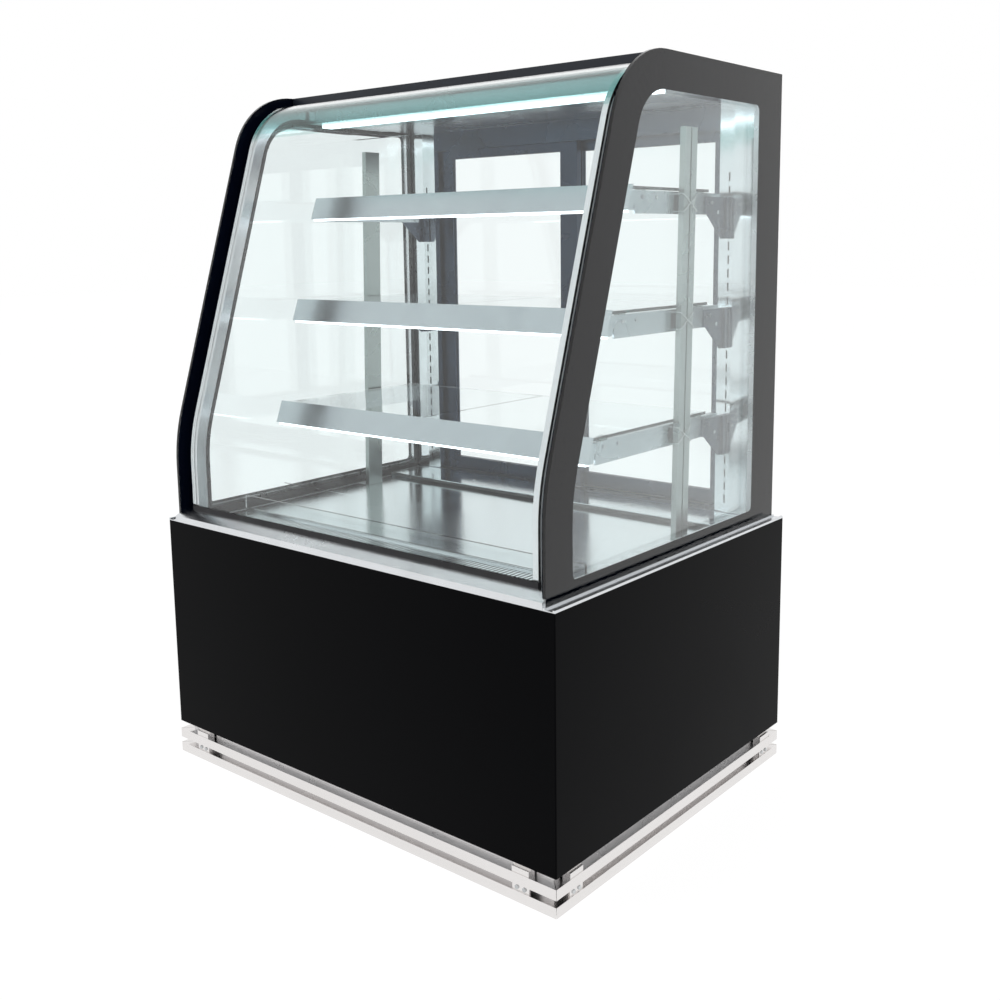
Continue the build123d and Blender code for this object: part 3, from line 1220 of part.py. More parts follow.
def draw_pole(width):
    """A leaning strip on the pole's middle line, from the tub's rim to the pole's top."""
    with BuildLine() as edge:
        Polyline(
            (pole_middle(BASE_TOP) - width / 2, BASE_TOP),
            (pole_middle(BASE_TOP) + width / 2, BASE_TOP),
            (pole_middle(POLE_TOP) + width / 2, POLE_TOP),
            (pole_middle(POLE_TOP) - width / 2, POLE_TOP),
            close=True,
        )
    make_face(edge.edges())


POLE_FACE = POLE_INNER_X + POLE_THICKNESS
with BuildPart() as side_poles:
    with BuildSketch(Plane.YZ.offset(POLE_INNER_X)):
        draw_pole(POLE_WIDTH)
    extrude(amount=POLE_THICKNESS)
    with BuildSketch(Plane.YZ.offset(POLE_FACE)):
        draw_pole(POLE_GROOVE)
    extrude(amount=-POLE_GROOVE_DEPTH, mode=Mode.SUBTRACT)
    mirror(about=Plane.YZ)
save(side_poles, "side_poles")

# ---------------------------------------------------------------------------
# Sliding doors: the left one runs in the front track, the right one behind it
# ---------------------------------------------------------------------------

DOOR_BOTTOM = SILL_TOP + SLIDE_GAP
DOOR_TOP = HEADER_BOTTOM + DOOR_HEAD_ENGAGEMENT
DOOR_WIDTH = JAMB_INNER_X - SLIDE_GAP + DOOR_OVERLAP
DOOR_MIDDLE_Z = (DOOR_BOTTOM + DOOR_TOP) / 2
SHOE_BOTTOM = SILL_TOP - TRACK_DEPTH + SEAT_GAP
PANE_WIDTH = DOOR_WIDTH - 2 * DOOR_STILE + 2 * DOOR_PANE_ENGAGEMENT
PANE_HEIGHT = DOOR_TOP - DOOR_BOTTOM - 2 * DOOR_RAIL + 2 * DOOR_PANE_ENGAGEMENT
for hand, side, track in zip(("left", "right"), (-1, 1), DOOR_TRACK_Y):
    middle_x = side * (DOOR_WIDTH / 2 - DOOR_OVERLAP)
    with BuildPart() as door_frame:
        with BuildSketch(Plane.XZ.offset(-track - DOOR_THICKNESS / 2)):
            with Locations((middle_x, DOOR_MIDDLE_Z)):
                Rectangle(DOOR_WIDTH, DOOR_TOP - DOOR_BOTTOM)
                Rectangle(
                    DOOR_WIDTH - 2 * DOOR_STILE, DOOR_TOP - DOOR_BOTTOM - 2 * DOOR_RAIL, mode=Mode.SUBTRACT
                )
        extrude(amount=DOOR_THICKNESS)
        with BuildSketch(Plane.XZ.offset(-track - DOOR_PANE / 2)):
            with Locations((middle_x, DOOR_MIDDLE_Z)):
                Rectangle(PANE_WIDTH, PANE_HEIGHT)
        extrude(amount=DOOR_PANE, mode=Mode.SUBTRACT)
        # shoes that ride in the sill's groove
        for end in (-1, 1):
            shoe_x = middle_x + end * (DOOR_WIDTH - SHOE_LENGTH) / 2
            block(
                (shoe_x - SHOE_LENGTH / 2, track - SHOE_THICKNESS / 2, SHOE_BOTTOM),
                (shoe_x + SHOE_LENGTH / 2, track + SHOE_THICKNESS / 2, DOOR_BOTTOM),
            )
        # finger pull sunk in the outer stile, on the rear face
        pull_x = side * (JAMB_INNER_X - SLIDE_GAP - DOOR_STILE * PULL_SHARE)
        block(
            (pull_x - PULL_WIDTH / 2, track + DOOR_THICKNESS / 2 - PULL_DEPTH, DOOR_MIDDLE_Z - PULL_LENGTH / 2),
            (pull_x + PULL_WIDTH / 2, track + DOOR_THICKNESS / 2, DOOR_MIDDLE_Z + PULL_LENGTH / 2),
            mode=Mode.SUBTRACT,
        )
    save(door_frame, f"{hand}_door_frame")
    with BuildPart() as door_glass:
        with BuildSketch(Plane.XZ.offset(-track - DOOR_PANE / 2)):
            with Locations((middle_x, DOOR_MIDDLE_Z)):
                Rectangle(PANE_WIDTH, PANE_HEIGHT)
        extrude(amount=DOOR_PANE)
    save(door_glass, f"{hand}_door_glass")

# ---------------------------------------------------------------------------
# Shelves
# ---------------------------------------------------------------------------

with BuildPart() as shelf_rails:
    with BuildSketch(Plane.YZ.offset(-LIGHT_RAIL_HALF_WIDTH)):
        for top, front in zip(SHELF_TOPS, SHELF_FRONTS):
            foot_y = front - LIGHT_RAIL_LEAN
            foot_z = top + LIGHT_RAIL_RISE - LIGHT_RAIL_HEIGHT
            shoulder_y = front - RAIL_FOOT_SETBACK
            with BuildLine():
                Polyline(
                    (front, top + LIGHT_RAIL_RISE),
                    (foot_y, foot_z),
                    (foot_y + LIGHT_RAIL_DEPTH, foot_z),
                    (shoulder_y + LIGHT_RAIL_DEPTH, top),
                    (shoulder_y + LIGHT_RAIL_LIP, top),
                    (front + LIGHT_RAIL_LIP, top + LIGHT_RAIL_RISE),
                    close=True,
                )
            make_face()
    extrude(amount=2 * LIGHT_RAIL_HALF_WIDTH)
save(shelf_rails, "shelf_rails")

ARM_FRONT_SETBACK = LIGHT_RAIL_DEPTH - RAIL_FOOT_SETBACK + SEAT_GAP
ARM_OUTER_X = ARM_X + ARM_THICKNESS
with BuildPart() as shelf_arms:
    for top, front in zip(SHELF_TOPS, SHELF_FRONTS):
        start = front + ARM_FRONT_SETBACK
        block((ARM_X, start, top - ARM_HEIGHT), (ARM_OUTER_X, ARM_REAR, top))
        block((ARM_OUTER_X - ARM_FLANGE, start, top - ARM_FLANGE_THICKNESS), (ARM_X, ARM_REAR, top))
    mirror(about=Plane.YZ)
    screw_holes(ARM_SCREWS, ARM_THICKNESS)
    screw_holes(BRACKET_SCREWS, BRACKET_THICKNESS + ARM_THICKNESS)
save(shelf_arms, "shelf_arms")

# plates screwed to the arms, each with a column whose hooks hang in the posts' slots
COLUMN_X = SLOT_X - BRACKET_COLUMN_WIDTH / 2
HOOK_REAR = POST_FRONT + POST_FACET_SETBACK + POST_SHEET
with BuildPart() as shelf_brackets:
    for top in SHELF_TOPS:
        high = top - BRACKET_TOP_DROP
        low = top - ARM_HEIGHT - BRACKET_GUSSET
        with BuildSketch(Plane.YZ.offset(ARM_OUTER_X)):
            with BuildLine():
                Polyline(
                    (BRACKET_FRONT, high),
                    (BRACKET_FRONT, top - ARM_HEIGHT),
                    (BRACKET_FRONT + BRACKET_TOP_DROP, top - ARM_HEIGHT),
                    (GUSSET_END, low),
                    (COLUMN_FRONT, low),
                    (COLUMN_FRONT, high),
                    close=True,
                )
            make_face()
        extrude(amount=BRACKET_THICKNESS)
        block((COLUMN_X, COLUMN_FRONT, low), (COLUMN_X + BRACKET_COLUMN_WIDTH, COLUMN_REAR, high))
        middle_y = (COLUMN_FRONT + COLUMN_REAR) / 2
        block(
            (COLUMN_X + BRACKET_COLUMN_WIDTH - COLUMN_GROOVE_DEPTH, middle_y - COLUMN_GROOVE / 2, low),
            (COLUMN_X + BRACKET_COLUMN_WIDTH, middle_y + COLUMN_GROOVE / 2, high),
            mode=Mode.SUBTRACT,
        )
        for drop in (0, HOOK_SPACING * SLOT_PITCH):
            seat = top - HOOK_DROP - drop - SLOT_LENGTH / 2
            block(
                (SLOT_X - BRACKET_THICKNESS / 2, COLUMN_REAR, seat),
                (SLOT_X + BRACKET_THICKNESS / 2, HOOK_REAR + HOOK_TONGUE, seat + HOOK_HEIGHT),
            )
            block(
                (SLOT_X - BRACKET_THICKNESS / 2, HOOK_REAR, seat - HOOK_BITE),
                (SLOT_X + BRACKET_THICKNESS / 2, HOOK_REAR + HOOK_TONGUE, seat),
            )
    mirror(about=Plane.YZ)
    screw_holes(BRACKET_SCREWS, BRACKET_THICKNESS)
save(shelf_brackets, "shelf_brackets")

for tier, top, front in zip(SHELF_TIERS, SHELF_TOPS, SHELF_FRONTS):
    with BuildPart() as shelf_glass:
        block(
            (SHELF_PANE_GAP / 2, front + LIGHT_RAIL_LIP + SEAT_GAP, top + PAD_THICKNESS),
            (SHELF_PANE_HALF_WIDTH, SHELF_PANE_REAR, top + PAD_THICKNESS + SHELF_PANE),
        )
        mirror(about=Plane.YZ)
    save(shelf_glass, f"shelf_glass_{tier}")

with BuildPart() as shelf_pads:
    for top, front in zip(SHELF_TOPS, SHELF_FRONTS):
        with BuildSketch(Plane.XY.offset(top)):
            pad_x = SHELF_PANE_HALF_WIDTH - PAD_WIDTH / 2
            with Locations((pad_x, front + PAD_FROM_FRONT), (pad_x, SHELF_PANE_REAR - PAD_FROM_REAR)):
                Rectangle(PAD_WIDTH, PAD_LENGTH)
            # two more on the light rail, under the inner corners of the panes
            with Locations((PAD_FROM_MIDDLE, front + LIGHT_RAIL_DEPTH / 2)):
                Rectangle(PAD_LENGTH, PAD_THICKNESS * 2)
        extrude(amount=PAD_THICKNESS)
    mirror(about=Plane.YZ)
save(shelf_pads, "shelf_pads")

# crossed wires that tie each arm to its pole
with BuildPart() as wire_clips:
    for top in SHELF_TOPS:
        middle_y = pole_middle(top - ARM_HEIGHT / 2)
        reach = POLE_WIDTH / 2 + WIRE_R + WIRE_CLEARANCE
        lift = ARM_HEIGHT / 2 - WIRE_MARGIN
        middle_z = top - ARM_HEIGHT / 2
        outer_x = POLE_FACE + WIRE_R + SEAT_GAP
        for turn in (-1, 1):
            route = [
                (ARM_OUTER_X, middle_y - reach, middle_z - turn * lift),
                (outer_x, middle_y - reach, middle_z - turn * lift),
                (outer_x, middle_y + reach, middle_z + turn * lift),
                (ARM_OUTER_X, middle_y + reach, middle_z + turn * lift),
            ]
            with BuildLine() as tie:
                FilletPolyline(*route, radius=WIRE_BEND)
            with BuildSketch(Plane(origin=route[0], z_dir=(1, 0, 0))):
                Circle(WIRE_R)
            sweep(path=tie.line)
    mirror(about=Plane.YZ)
save(wire_clips, "wire_clips")

with BuildPart() as screws:
    with Locations(*PLINTH_SCREWS, *ARM_SCREWS, *BRACKET_SCREWS, *DUCT_SCREWS, *JAMB_SCREWS, *SERVICE_SCREWS):
        Cylinder(SCREW_HEAD_R, SCREW_HEAD_HEIGHT, align=(Align.CENTER, Align.CENTER, Align.MIN))
        Cylinder(SCREW_SHANK_R, SCREW_LENGTH, align=(Align.CENTER, Align.CENTER, Align.MAX))
save(screws, "screws")
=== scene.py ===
import math

import bpy
from bpy.props import FloatProperty, FloatVectorProperty, PointerProperty
from mathutils import Matrix, Vector

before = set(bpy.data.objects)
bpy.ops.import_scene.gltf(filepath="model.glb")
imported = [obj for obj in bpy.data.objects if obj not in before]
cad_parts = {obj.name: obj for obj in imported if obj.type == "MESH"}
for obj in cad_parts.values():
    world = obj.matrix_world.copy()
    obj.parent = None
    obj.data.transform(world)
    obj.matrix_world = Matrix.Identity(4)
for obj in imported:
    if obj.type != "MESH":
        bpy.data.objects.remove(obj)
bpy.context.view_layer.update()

bl_info = {
    "name": "Glass Display Showcase",
    "version": (1, 0, 0),
    "blender": (4, 5, 0),
    "location": "3D View > Sidebar > Showcase",
    "description": "Finishes for a refrigerated display showcase with a bent glass front",
    "category": "Object",
}


# ---------------------------------------------------------------------------
# Settings
# ---------------------------------------------------------------------------


# camera: place in metres, then the way it looks, in degrees
CAMERA_PLACE = (1.367, -1.557, 0.962)
CAMERA_YAW = 39.82
CAMERA_PITCH = 8.87
CAMERA_ROLL = -0.73
CAMERA_SHIFT = -0.08
SENSOR_WIDTH = 36.0

# lamps, in metres: they all aim at the middle of the case
LAMP_AIM = (0, 0, 0.6)
KEY_PLACE = (-2.2, -2.8, 2.8)
FILL_PLACE = (3.0, -0.6, 2.2)
BACK_PLACE = (-0.6, 2.8, 2.6)
KEY_SIZE = 2.2
SIDE_LAMP_SIZE = 2.0
BACK_SHARE = 0.7

# floor: how much of it is bright paper, and how bright, so that it meets the white room
FLOOR_SIZE = 40
FLOOR_DROP = 0.0005
PAPER_SHARE = 0.88
PAPER_GLOW = 1.07


class ShowcaseMetalSettings(bpy.types.PropertyGroup):
    body_colour: FloatVectorProperty(
        name="Cabinet", description="Colour of the base cabinet's lacquer", subtype="COLOR", size=3,
        min=0, max=1, default=(0.0015, 0.0016, 0.0022),
    )
    body_roughness: FloatProperty(
        name="Cabinet roughness", description="How dull the lacquer is", subtype="FACTOR", min=0,
        max=1, default=0.32,
    )
    plinth_colour: FloatVectorProperty(
        name="Plinth", description="Colour of the polished plinth rails", subtype="COLOR", size=3,
        min=0, max=1, default=(0.80, 0.78, 0.77),
    )
    steel_colour: FloatVectorProperty(
        name="Steel", description="Colour of the deck, posts and ledges", subtype="COLOR", size=3,
        min=0, max=1, default=(0.74, 0.80, 0.82),
    )
    rail_colour: FloatVectorProperty(
        name="Shelf rails", description="Colour of the shelves' light rails and arms",
        subtype="COLOR", size=3,
        min=0, max=1, default=(0.52, 0.58, 0.61),
    )
    bracket_colour: FloatVectorProperty(
        name="Brackets", description="Colour of the shelf brackets", subtype="COLOR", size=3,
        min=0, max=1, default=(0.10, 0.13, 0.18),
    )
    frame_colour: FloatVectorProperty(
        name="Door frames", description="Colour of the anodised door frames", subtype="COLOR",
        size=3,
        min=0, max=1, default=(0.030, 0.050, 0.085),
    )


class ShowcaseGlassSettings(bpy.types.PropertyGroup):
    tint: FloatVectorProperty(
        name="Tint", description="Colour of the glass seen through its faces", subtype="COLOR",
        size=3,
        min=0, max=1, default=(0.955, 0.985, 0.985),
    )
    edge: FloatVectorProperty(
        name="Cut edges", description="Colour of the glass seen along its edges", subtype="COLOR",
        size=3,
        min=0, max=1, default=(0.03, 0.26, 0.23),
    )
    border: FloatVectorProperty(
        name="Border", description="Colour of the printed border on the end glazing",
        subtype="COLOR", size=3,
        min=0, max=1, default=(0.0012, 0.0025, 0.008),
    )
    lamp: FloatProperty(
        name="Lamp glow", description="Brightness of the lamp strips", min=0, max=20, default=3.0,
    )


class ShowcaseStageSettings(bpy.types.PropertyGroup):
    key: FloatProperty(
        name="Key lamp", description="Power of the large lamp at the front left", subtype="POWER",
        unit="POWER",
        min=0, max=400, default=36.0,
    )
    fill: FloatProperty(
        name="Fill lamp", description="Power of the lamp at the right", subtype="POWER",
        unit="POWER",
        min=0, max=400, default=26.0,
    )
    sky: FloatProperty(
        name="Room light", description="Brightness of the room on matt surfaces", min=0, max=2,
        default=0.55,
    )
    focal_length: FloatProperty(
        name="Focal length", description="Lens of the camera, in millimetres", min=10, max=200,
        default=41.44,
    )


# ---------------------------------------------------------------------------
# Shared effects
# ---------------------------------------------------------------------------


def new_group(name, inputs, outputs):
    """An empty shader node group with its sockets, and its two ends."""
    group = bpy.data.node_groups.new(name, "ShaderNodeTree")
    for label, kind, default in inputs:
        socket = group.interface.new_socket(name=label, in_out="INPUT", socket_type=kind)
        socket.default_value = default
    for label, kind in outputs:
        group.interface.new_socket(name=label, in_out="OUTPUT", socket_type=kind)
    return group, group.nodes.new("NodeGroupInput"), group.nodes.new("NodeGroupOutput")


def grain_group():
    """Fine lines or speckle in a finish: how far along and across the grain runs is set by Stretch."""
    name = "Fine Grain"
    if name in bpy.data.node_groups:
        return bpy.data.node_groups[name]
    group, start, end = new_group(
        name,
        [("Stretch", "NodeSocketVector", (1.0, 1.0, 1.0)), ("Scale", "NodeSocketFloat", 300.0),
         ("Depth", "NodeSocketFloat", 0.1)],
        [("Value", "NodeSocketFloat"), ("Normal", "NodeSocketVector")],
    )
    nodes, links = group.nodes, group.links
    place = nodes.new("ShaderNodeTexCoord")
    stretch = nodes.new("ShaderNodeVectorMath")
    stretch.operation = "MULTIPLY"
    noise = nodes.new("ShaderNodeTexNoise")
    noise.inputs["Detail"].default_value = 4.0
    bump = nodes.new("ShaderNodeBump")
    bump.inputs["Distance"].default_value = 0.0004
    links.new(place.outputs["Object"], stretch.inputs[0])
    links.new(start.outputs["Stretch"], stretch.inputs[1])
    links.new(stretch.outputs["Vector"], noise.inputs["Vector"])
    links.new(start.outputs["Scale"], noise.inputs["Scale"])
    links.new(start.outputs["Depth"], bump.inputs["Strength"])
    links.new(noise.outputs["Fac"], bump.inputs["Height"])
    links.new(noise.outputs["Fac"], end.inputs["Value"])
    links.new(bump.outputs["Normal"], end.inputs["Normal"])
    return group


def marks_group():
    """Broad soft marks left by handling and wiping, as a value from 0 to 1."""
    name = "Handling Marks"
    if name in bpy.data.node_groups:
        return bpy.data.node_groups[name]
    group, start, end = new_group(
        name,
        [
            ("Scale", "NodeSocketFloat", 9.0),
            ("Low", "NodeSocketFloat", 0.2),
            ("High", "NodeSocketFloat", 0.3),
        ],
        [("Value", "NodeSocketFloat"), ("Mask", "NodeSocketFloat")],
    )
    nodes, links = group.nodes, group.links
    place = nodes.new("ShaderNodeTexCoord")
    noise = nodes.new("ShaderNodeTexNoise")
    noise.inputs["Detail"].default_value = 6.0
    noise.inputs["Distortion"].default_value = 0.6
    spread = nodes.new("ShaderNodeMapRange")
    spread.inputs["From Min"].default_value = 0.3
    spread.inputs["From Max"].default_value = 0.7
    mask = nodes.new("ShaderNodeMapRange")
    mask.inputs["From Min"].default_value = 0.3
    mask.inputs["From Max"].default_value = 0.7
    links.new(place.outputs["Object"], noise.inputs["Vector"])
    links.new(start.outputs["Scale"], noise.inputs["Scale"])
    links.new(noise.outputs["Fac"], spread.inputs["Value"])
    links.new(start.outputs["Low"], spread.inputs["To Min"])
    links.new(start.outputs["High"], spread.inputs["To Max"])
    links.new(noise.outputs["Fac"], mask.inputs["Value"])
    links.new(spread.outputs["Result"], end.inputs["Value"])
    links.new(mask.outputs["Result"], end.inputs["Mask"])
    return group


def put_group(material, group, **values):
    """Place a node group in a material and set its inputs."""
    node = material.node_tree.nodes.new("ShaderNodeGroup")
    node.node_tree = group
    for label, value in values.items():
        node.inputs[label].default_value = value
    return node


def new_material(name):
    """A material with a bare Principled shader, and its tree's nodes and links."""
    material = bpy.data.materials.new(name)
    material.use_nodes = True
    shader = material.node_tree.nodes["Principled BSDF"]
    return material, shader, material.node_tree.nodes, material.node_tree.links


def finish_material(
    name, colour, roughness, metallic=0.0, spread=0.08, shade=0.86, stretch=(1, 1, 1), grain=300.0,
    depth=0.05, marks=9.0, specular=0.5, coat=0.0,
):
    """An opaque finish: colour and roughness wander with handling marks, grain sits in the normal."""
    material, shader, nodes, links = new_material(name)
    shader.inputs["Metallic"].default_value = metallic
    shader.inputs["Specular IOR Level"].default_value = specular
    shader.inputs["Coat Weight"].default_value = coat
    shader.inputs["Coat Roughness"].default_value = 0.05
    wiped = put_group(
        material, marks_group(), Scale=marks, Low=max(0.02, roughness - spread),
        High=roughness + spread,
    )
    grained = put_group(material, grain_group(), Stretch=stretch, Scale=grain, Depth=depth)
    tone = nodes.new("ShaderNodeMix")
    tone.data_type = "RGBA"
    tone.inputs["A"].default_value = (*[c * shade for c in colour], 1)
    tone.inputs["B"].default_value = (*colour, 1)
    links.new(wiped.outputs["Mask"], tone.inputs["Factor"])
    links.new(tone.outputs["Result"], shader.inputs["Base Color"])
    links.new(wiped.outputs["Value"], shader.inputs["Roughness"])
    links.new(grained.outputs["Normal"], shader.inputs["Normal"])
    return material


def glass_material(name, tint, edge, face_axis, roughness=0.0):
    """Clear glass whose cut edges are darker: face_axis is the direction its broad faces look."""
    material, shader, nodes, links = new_material(name)
    shader.inputs["Transmission Weight"].default_value = 1.0
    shader.inputs["IOR"].default_value = 1.46
    where = nodes.new("ShaderNodeNewGeometry")
    facing = nodes.new("ShaderNodeVectorMath")
    facing.operation = "DOT_PRODUCT"
    facing.inputs[1].default_value = face_axis
    size = nodes.new("ShaderNodeMath")
    size.operation = "ABSOLUTE"
    step = nodes.new("ShaderNodeMapRange")
    step.inputs["From Min"].default_value = 0.15
    step.inputs["From Max"].default_value = 0.35
    tone = nodes.new("ShaderNodeMix")
    tone.data_type = "RGBA"
    tone.inputs["A"].default_value = (*edge, 1)
    tone.inputs["B"].default_value = (*tint, 1)
    wiped = put_group(material, marks_group(), Scale=6.0, Low=roughness, High=roughness + 0.012)
    links.new(where.outputs["True Normal"], facing.inputs[0])
    links.new(facing.outputs["Value"], size.inputs[0])
    links.new(size.outputs["Value"], step.inputs["Value"])
    links.new(step.outputs["Result"], tone.inputs["Factor"])
    links.new(tone.outputs["Result"], shader.inputs["Base Color"])
    links.new(wiped.outputs["Value"], shader.inputs["Roughness"])
    # lamps shine through the pane as through a clear one
    path = nodes.new("ShaderNodeLightPath")
    clear = nodes.new("ShaderNodeBsdfTransparent")
    clear.inputs["Color"].default_value = (*tint, 1)
    mix = nodes.new("ShaderNodeMixShader")
    links.new(path.outputs["Is Shadow Ray"], mix.inputs["Fac"])
    links.new(shader.outputs["BSDF"], mix.inputs[1])
    links.new(clear.outputs["BSDF"], mix.inputs[2])
    links.new(mix.outputs["Shader"], nodes["Material Output"].inputs["Surface"])
    return material


# ---------------------------------------------------------------------------
# Small helpers
# ---------------------------------------------------------------------------


def dress(material, *names):
    """Give CAD nodes a material."""
    for name in names:
        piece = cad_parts[name]
        if not piece.material_slots:
            piece.data.materials.append(material)
        for slot in piece.material_slots:
            slot.material = material


def shown_rays(nodes, links):
    """A socket that is 1 on rays from the camera, from gloss and through glass, else 0."""
    path = nodes.new("ShaderNodeLightPath")
    socket = path.outputs["Is Camera Ray"]
    for label in ("Is Glossy Ray", "Is Transmission Ray"):
        either = nodes.new("ShaderNodeMath")
        either.operation = "MAXIMUM"
        links.new(socket, either.inputs[0])
        links.new(path.outputs[label], either.inputs[1])
        socket = either.outputs["Value"]
    return socket


def settings():
    """The three groups of settings."""
    scene = bpy.context.scene
    return scene.showcase_metal, scene.showcase_glass, scene.showcase_stage


# ---------------------------------------------------------------------------
# Pieces
# ---------------------------------------------------------------------------


class SHOWCASE_OT_plinth(bpy.types.Operator):
    """Finish the plinth's rails, clips and skirt"""

    bl_idname = "showcase.plinth"
    bl_label = "Plinth"

    def execute(self, context):
        metal = settings()[0]
        rails = finish_material(
            "polished_rails", metal.plinth_colour, 0.16, metallic=1.0, spread=0.05, shade=0.95,
            stretch=(1, 1, 40), grain=60, depth=0.02, marks=4,
        )
        dress(rails, "plinth_rails", "plinth_clips")
        skirt = finish_material(
            "skirt_sheet", (0.86, 0.86, 0.87), 0.3, metallic=1.0, shade=0.94, grain=200, depth=0.03,
        )
        dress(skirt, "plinth_skirt")
        return {"FINISHED"}


class SHOWCASE_OT_cabinet(bpy.types.Operator):
    """Lacquer the base cabinet and finish its inner frame"""

    bl_idname = "showcase.cabinet"
    bl_label = "Base cabinet"

    def execute(self, context):
        metal = settings()[0]
        lacquer = finish_material(
            "black_lacquer", metal.body_colour, metal.body_roughness, spread=0.05, shade=0.8,
            grain=900, depth=0.01, marks=3, specular=0.03,
        )
        dress(lacquer, "front_panel", "side_panels")
        zinc = finish_material(
            "zinc_sheet", (0.55, 0.56, 0.57), 0.4, metallic=1.0, shade=0.75, grain=120, depth=0.05,
            marks=30,
        )
        dress(zinc, "base_tray", "base_frame")
        return {"FINISHED"}


class SHOWCASE_OT_service_panels(bpy.types.Operator):
    """Finish the rear grille, the control panel and its controls"""

    bl_idname = "showcase.service_panels"
    bl_label = "Rear panels and controls"

    def execute(self, context):
        sheet = finish_material(
            "service_lacquer", (0.010, 0.010, 0.012), 0.42, spread=0.05, grain=700, depth=0.06,
            marks=5, specular=0.3,
        )
        dress(sheet, "rear_grille", "control_panel")
        moulded = finish_material(
            "moulded_black", (0.02, 0.02, 0.022), 0.5, grain=1500, depth=0.15, marks=30,
        )
        dress(moulded, "controller", "power_inlet")
        keys = finish_material("key_grey", (0.30, 0.31, 0.33), 0.5, grain=1800, depth=0.1, marks=80)
        dress(keys, "button_set", "button_up", "button_down")
        gloss = finish_material(
            "rocker_gloss", (0.02, 0.02, 0.02), 0.15, spread=0.04, grain=600, depth=0.02, marks=60,
        )
        dress(gloss, "power_rocker", "light_rocker")
        return {"FINISHED"}


class SHOWCASE_OT_cooling(bpy.types.Operator):
    """Finish the cold tub and the machinery under it"""

    bl_idname = "showcase.cooling"
    bl_label = "Cooling"

    def execute(self, context):
        tub = finish_material(
            "tub_skin", (0.72, 0.74, 0.76), 0.45, shade=0.92, grain=200, depth=0.05, marks=6,
        )
        dress(tub, "cold_tub")
        fins = finish_material(
            "fin_pack", (0.68, 0.69, 0.70), 0.4, metallic=1.0, shade=0.5, stretch=(1, 0.02, 0.02),
            grain=900, depth=0.6,
        )
        dress(fins, "evaporator_coil", "condenser_coil")
        sheet = finish_material(
            "mount_sheet", (0.58, 0.59, 0.60), 0.38, metallic=1.0, shade=0.8, grain=120, depth=0.05,
            marks=20,
        )
        dress(sheet, "fan_panel", "condenser_shroud")
        blades = finish_material(
            "fan_black", (0.03, 0.03, 0.033), 0.45, grain=800, depth=0.08, marks=20,
        )
        dress(blades, "condenser_fan", "evaporator_fan")
        shell = finish_material(
            "compressor_black", (0.012, 0.012, 0.013), 0.35, grain=500, depth=0.12, marks=15,
        )
        dress(shell, "compressor")
        copper = finish_material(
            "copper_line", (0.78, 0.38, 0.22), 0.28, metallic=1.0, shade=0.6, grain=300, depth=0.04,
            marks=40,
        )
        dress(copper, "refrigerant_pipes")
        tray = finish_material(
            "tray_plastic", (0.08, 0.08, 0.09), 0.5, grain=900, depth=0.1, marks=20,
        )
        dress(tray, "drain_tray")
        return {"FINISHED"}


class SHOWCASE_OT_deck(bpy.types.Operator):
    """Finish the deck sheets, ledges, sill and air fence"""

    bl_idname = "showcase.deck"
    bl_label = "Deck and ledges"

    def execute(self, context):
        metal = settings()[0]
        polished = finish_material(
            "polished_deck", metal.steel_colour, 0.17, metallic=1.0, spread=0.07, shade=0.9,
            stretch=(1, 30, 1), grain=40, depth=0.025, marks=5,
        )
        dress(polished, "deck_panel", "front_grille", "duct_cover")
        ledge = finish_material(
            "brushed_ledge", (0.74, 0.76, 0.78), 0.24, metallic=1.0, spread=0.06, shade=0.9,
            stretch=(0.03, 1, 1), grain=700, depth=0.06, marks=10,
        )
        dress(ledge, "front_ledge", "side_ledges")
        clear = glass_material(
            "fence_clear", (0.95, 0.98, 0.98), (0.45, 0.80, 0.80), (0, 1, 0), 0.01,
        )
        dress(clear, "air_fence")
        sill = finish_material(
            "anodised_track", (0.09, 0.12, 0.16), 0.3, metallic=0.9, stretch=(0.03, 1, 1),
            grain=600, depth=0.06,
        )
        dress(sill, "door_sill")
        return {"FINISHED"}


class SHOWCASE_OT_glazing(bpy.types.Operator):
    """Make the bent front, the glazed ends, their borders and channels"""

    bl_idname = "showcase.glazing"
    bl_label = "Front and end glazing"

    def execute(self, context):
        glass = settings()[1]
        front = glass_material("front_glass_clear", glass.tint, (0.35, 0.62, 0.60), (0, 0.7, 0.7))
        dress(front, "front_glass")
        ends = glass_material("end_glass_clear", glass.tint, (0.55, 0.66, 0.68), (1, 0, 0))
        dress(ends, "end_glass_left", "end_glass_right")
        border = finish_material(
            "printed_border", glass.border, 0.2, spread=0.05, shade=0.8, grain=800, depth=0.01,
            marks=4, specular=0.06,
        )
        dress(border, "end_borders")
        spacer = finish_material(
            "spacer_mill", (0.72, 0.75, 0.77), 0.3, metallic=1.0, grain=500, depth=0.05, marks=40,
        )
        dress(spacer, "end_spacers")
        channel = finish_material(
            "channel_silver", (0.80, 0.82, 0.84), 0.22, metallic=1.0, spread=0.05, shade=0.88,
            stretch=(1, 0.05, 0.05), grain=500, depth=0.05, marks=12,
        )
        dress(channel, "end_channels")
        rubber = finish_material(
            "gasket_black", (0.012, 0.012, 0.014), 0.6, grain=700, depth=0.15, marks=30,
        )
        dress(rubber, "glass_gaskets")
        return {"FINISHED"}


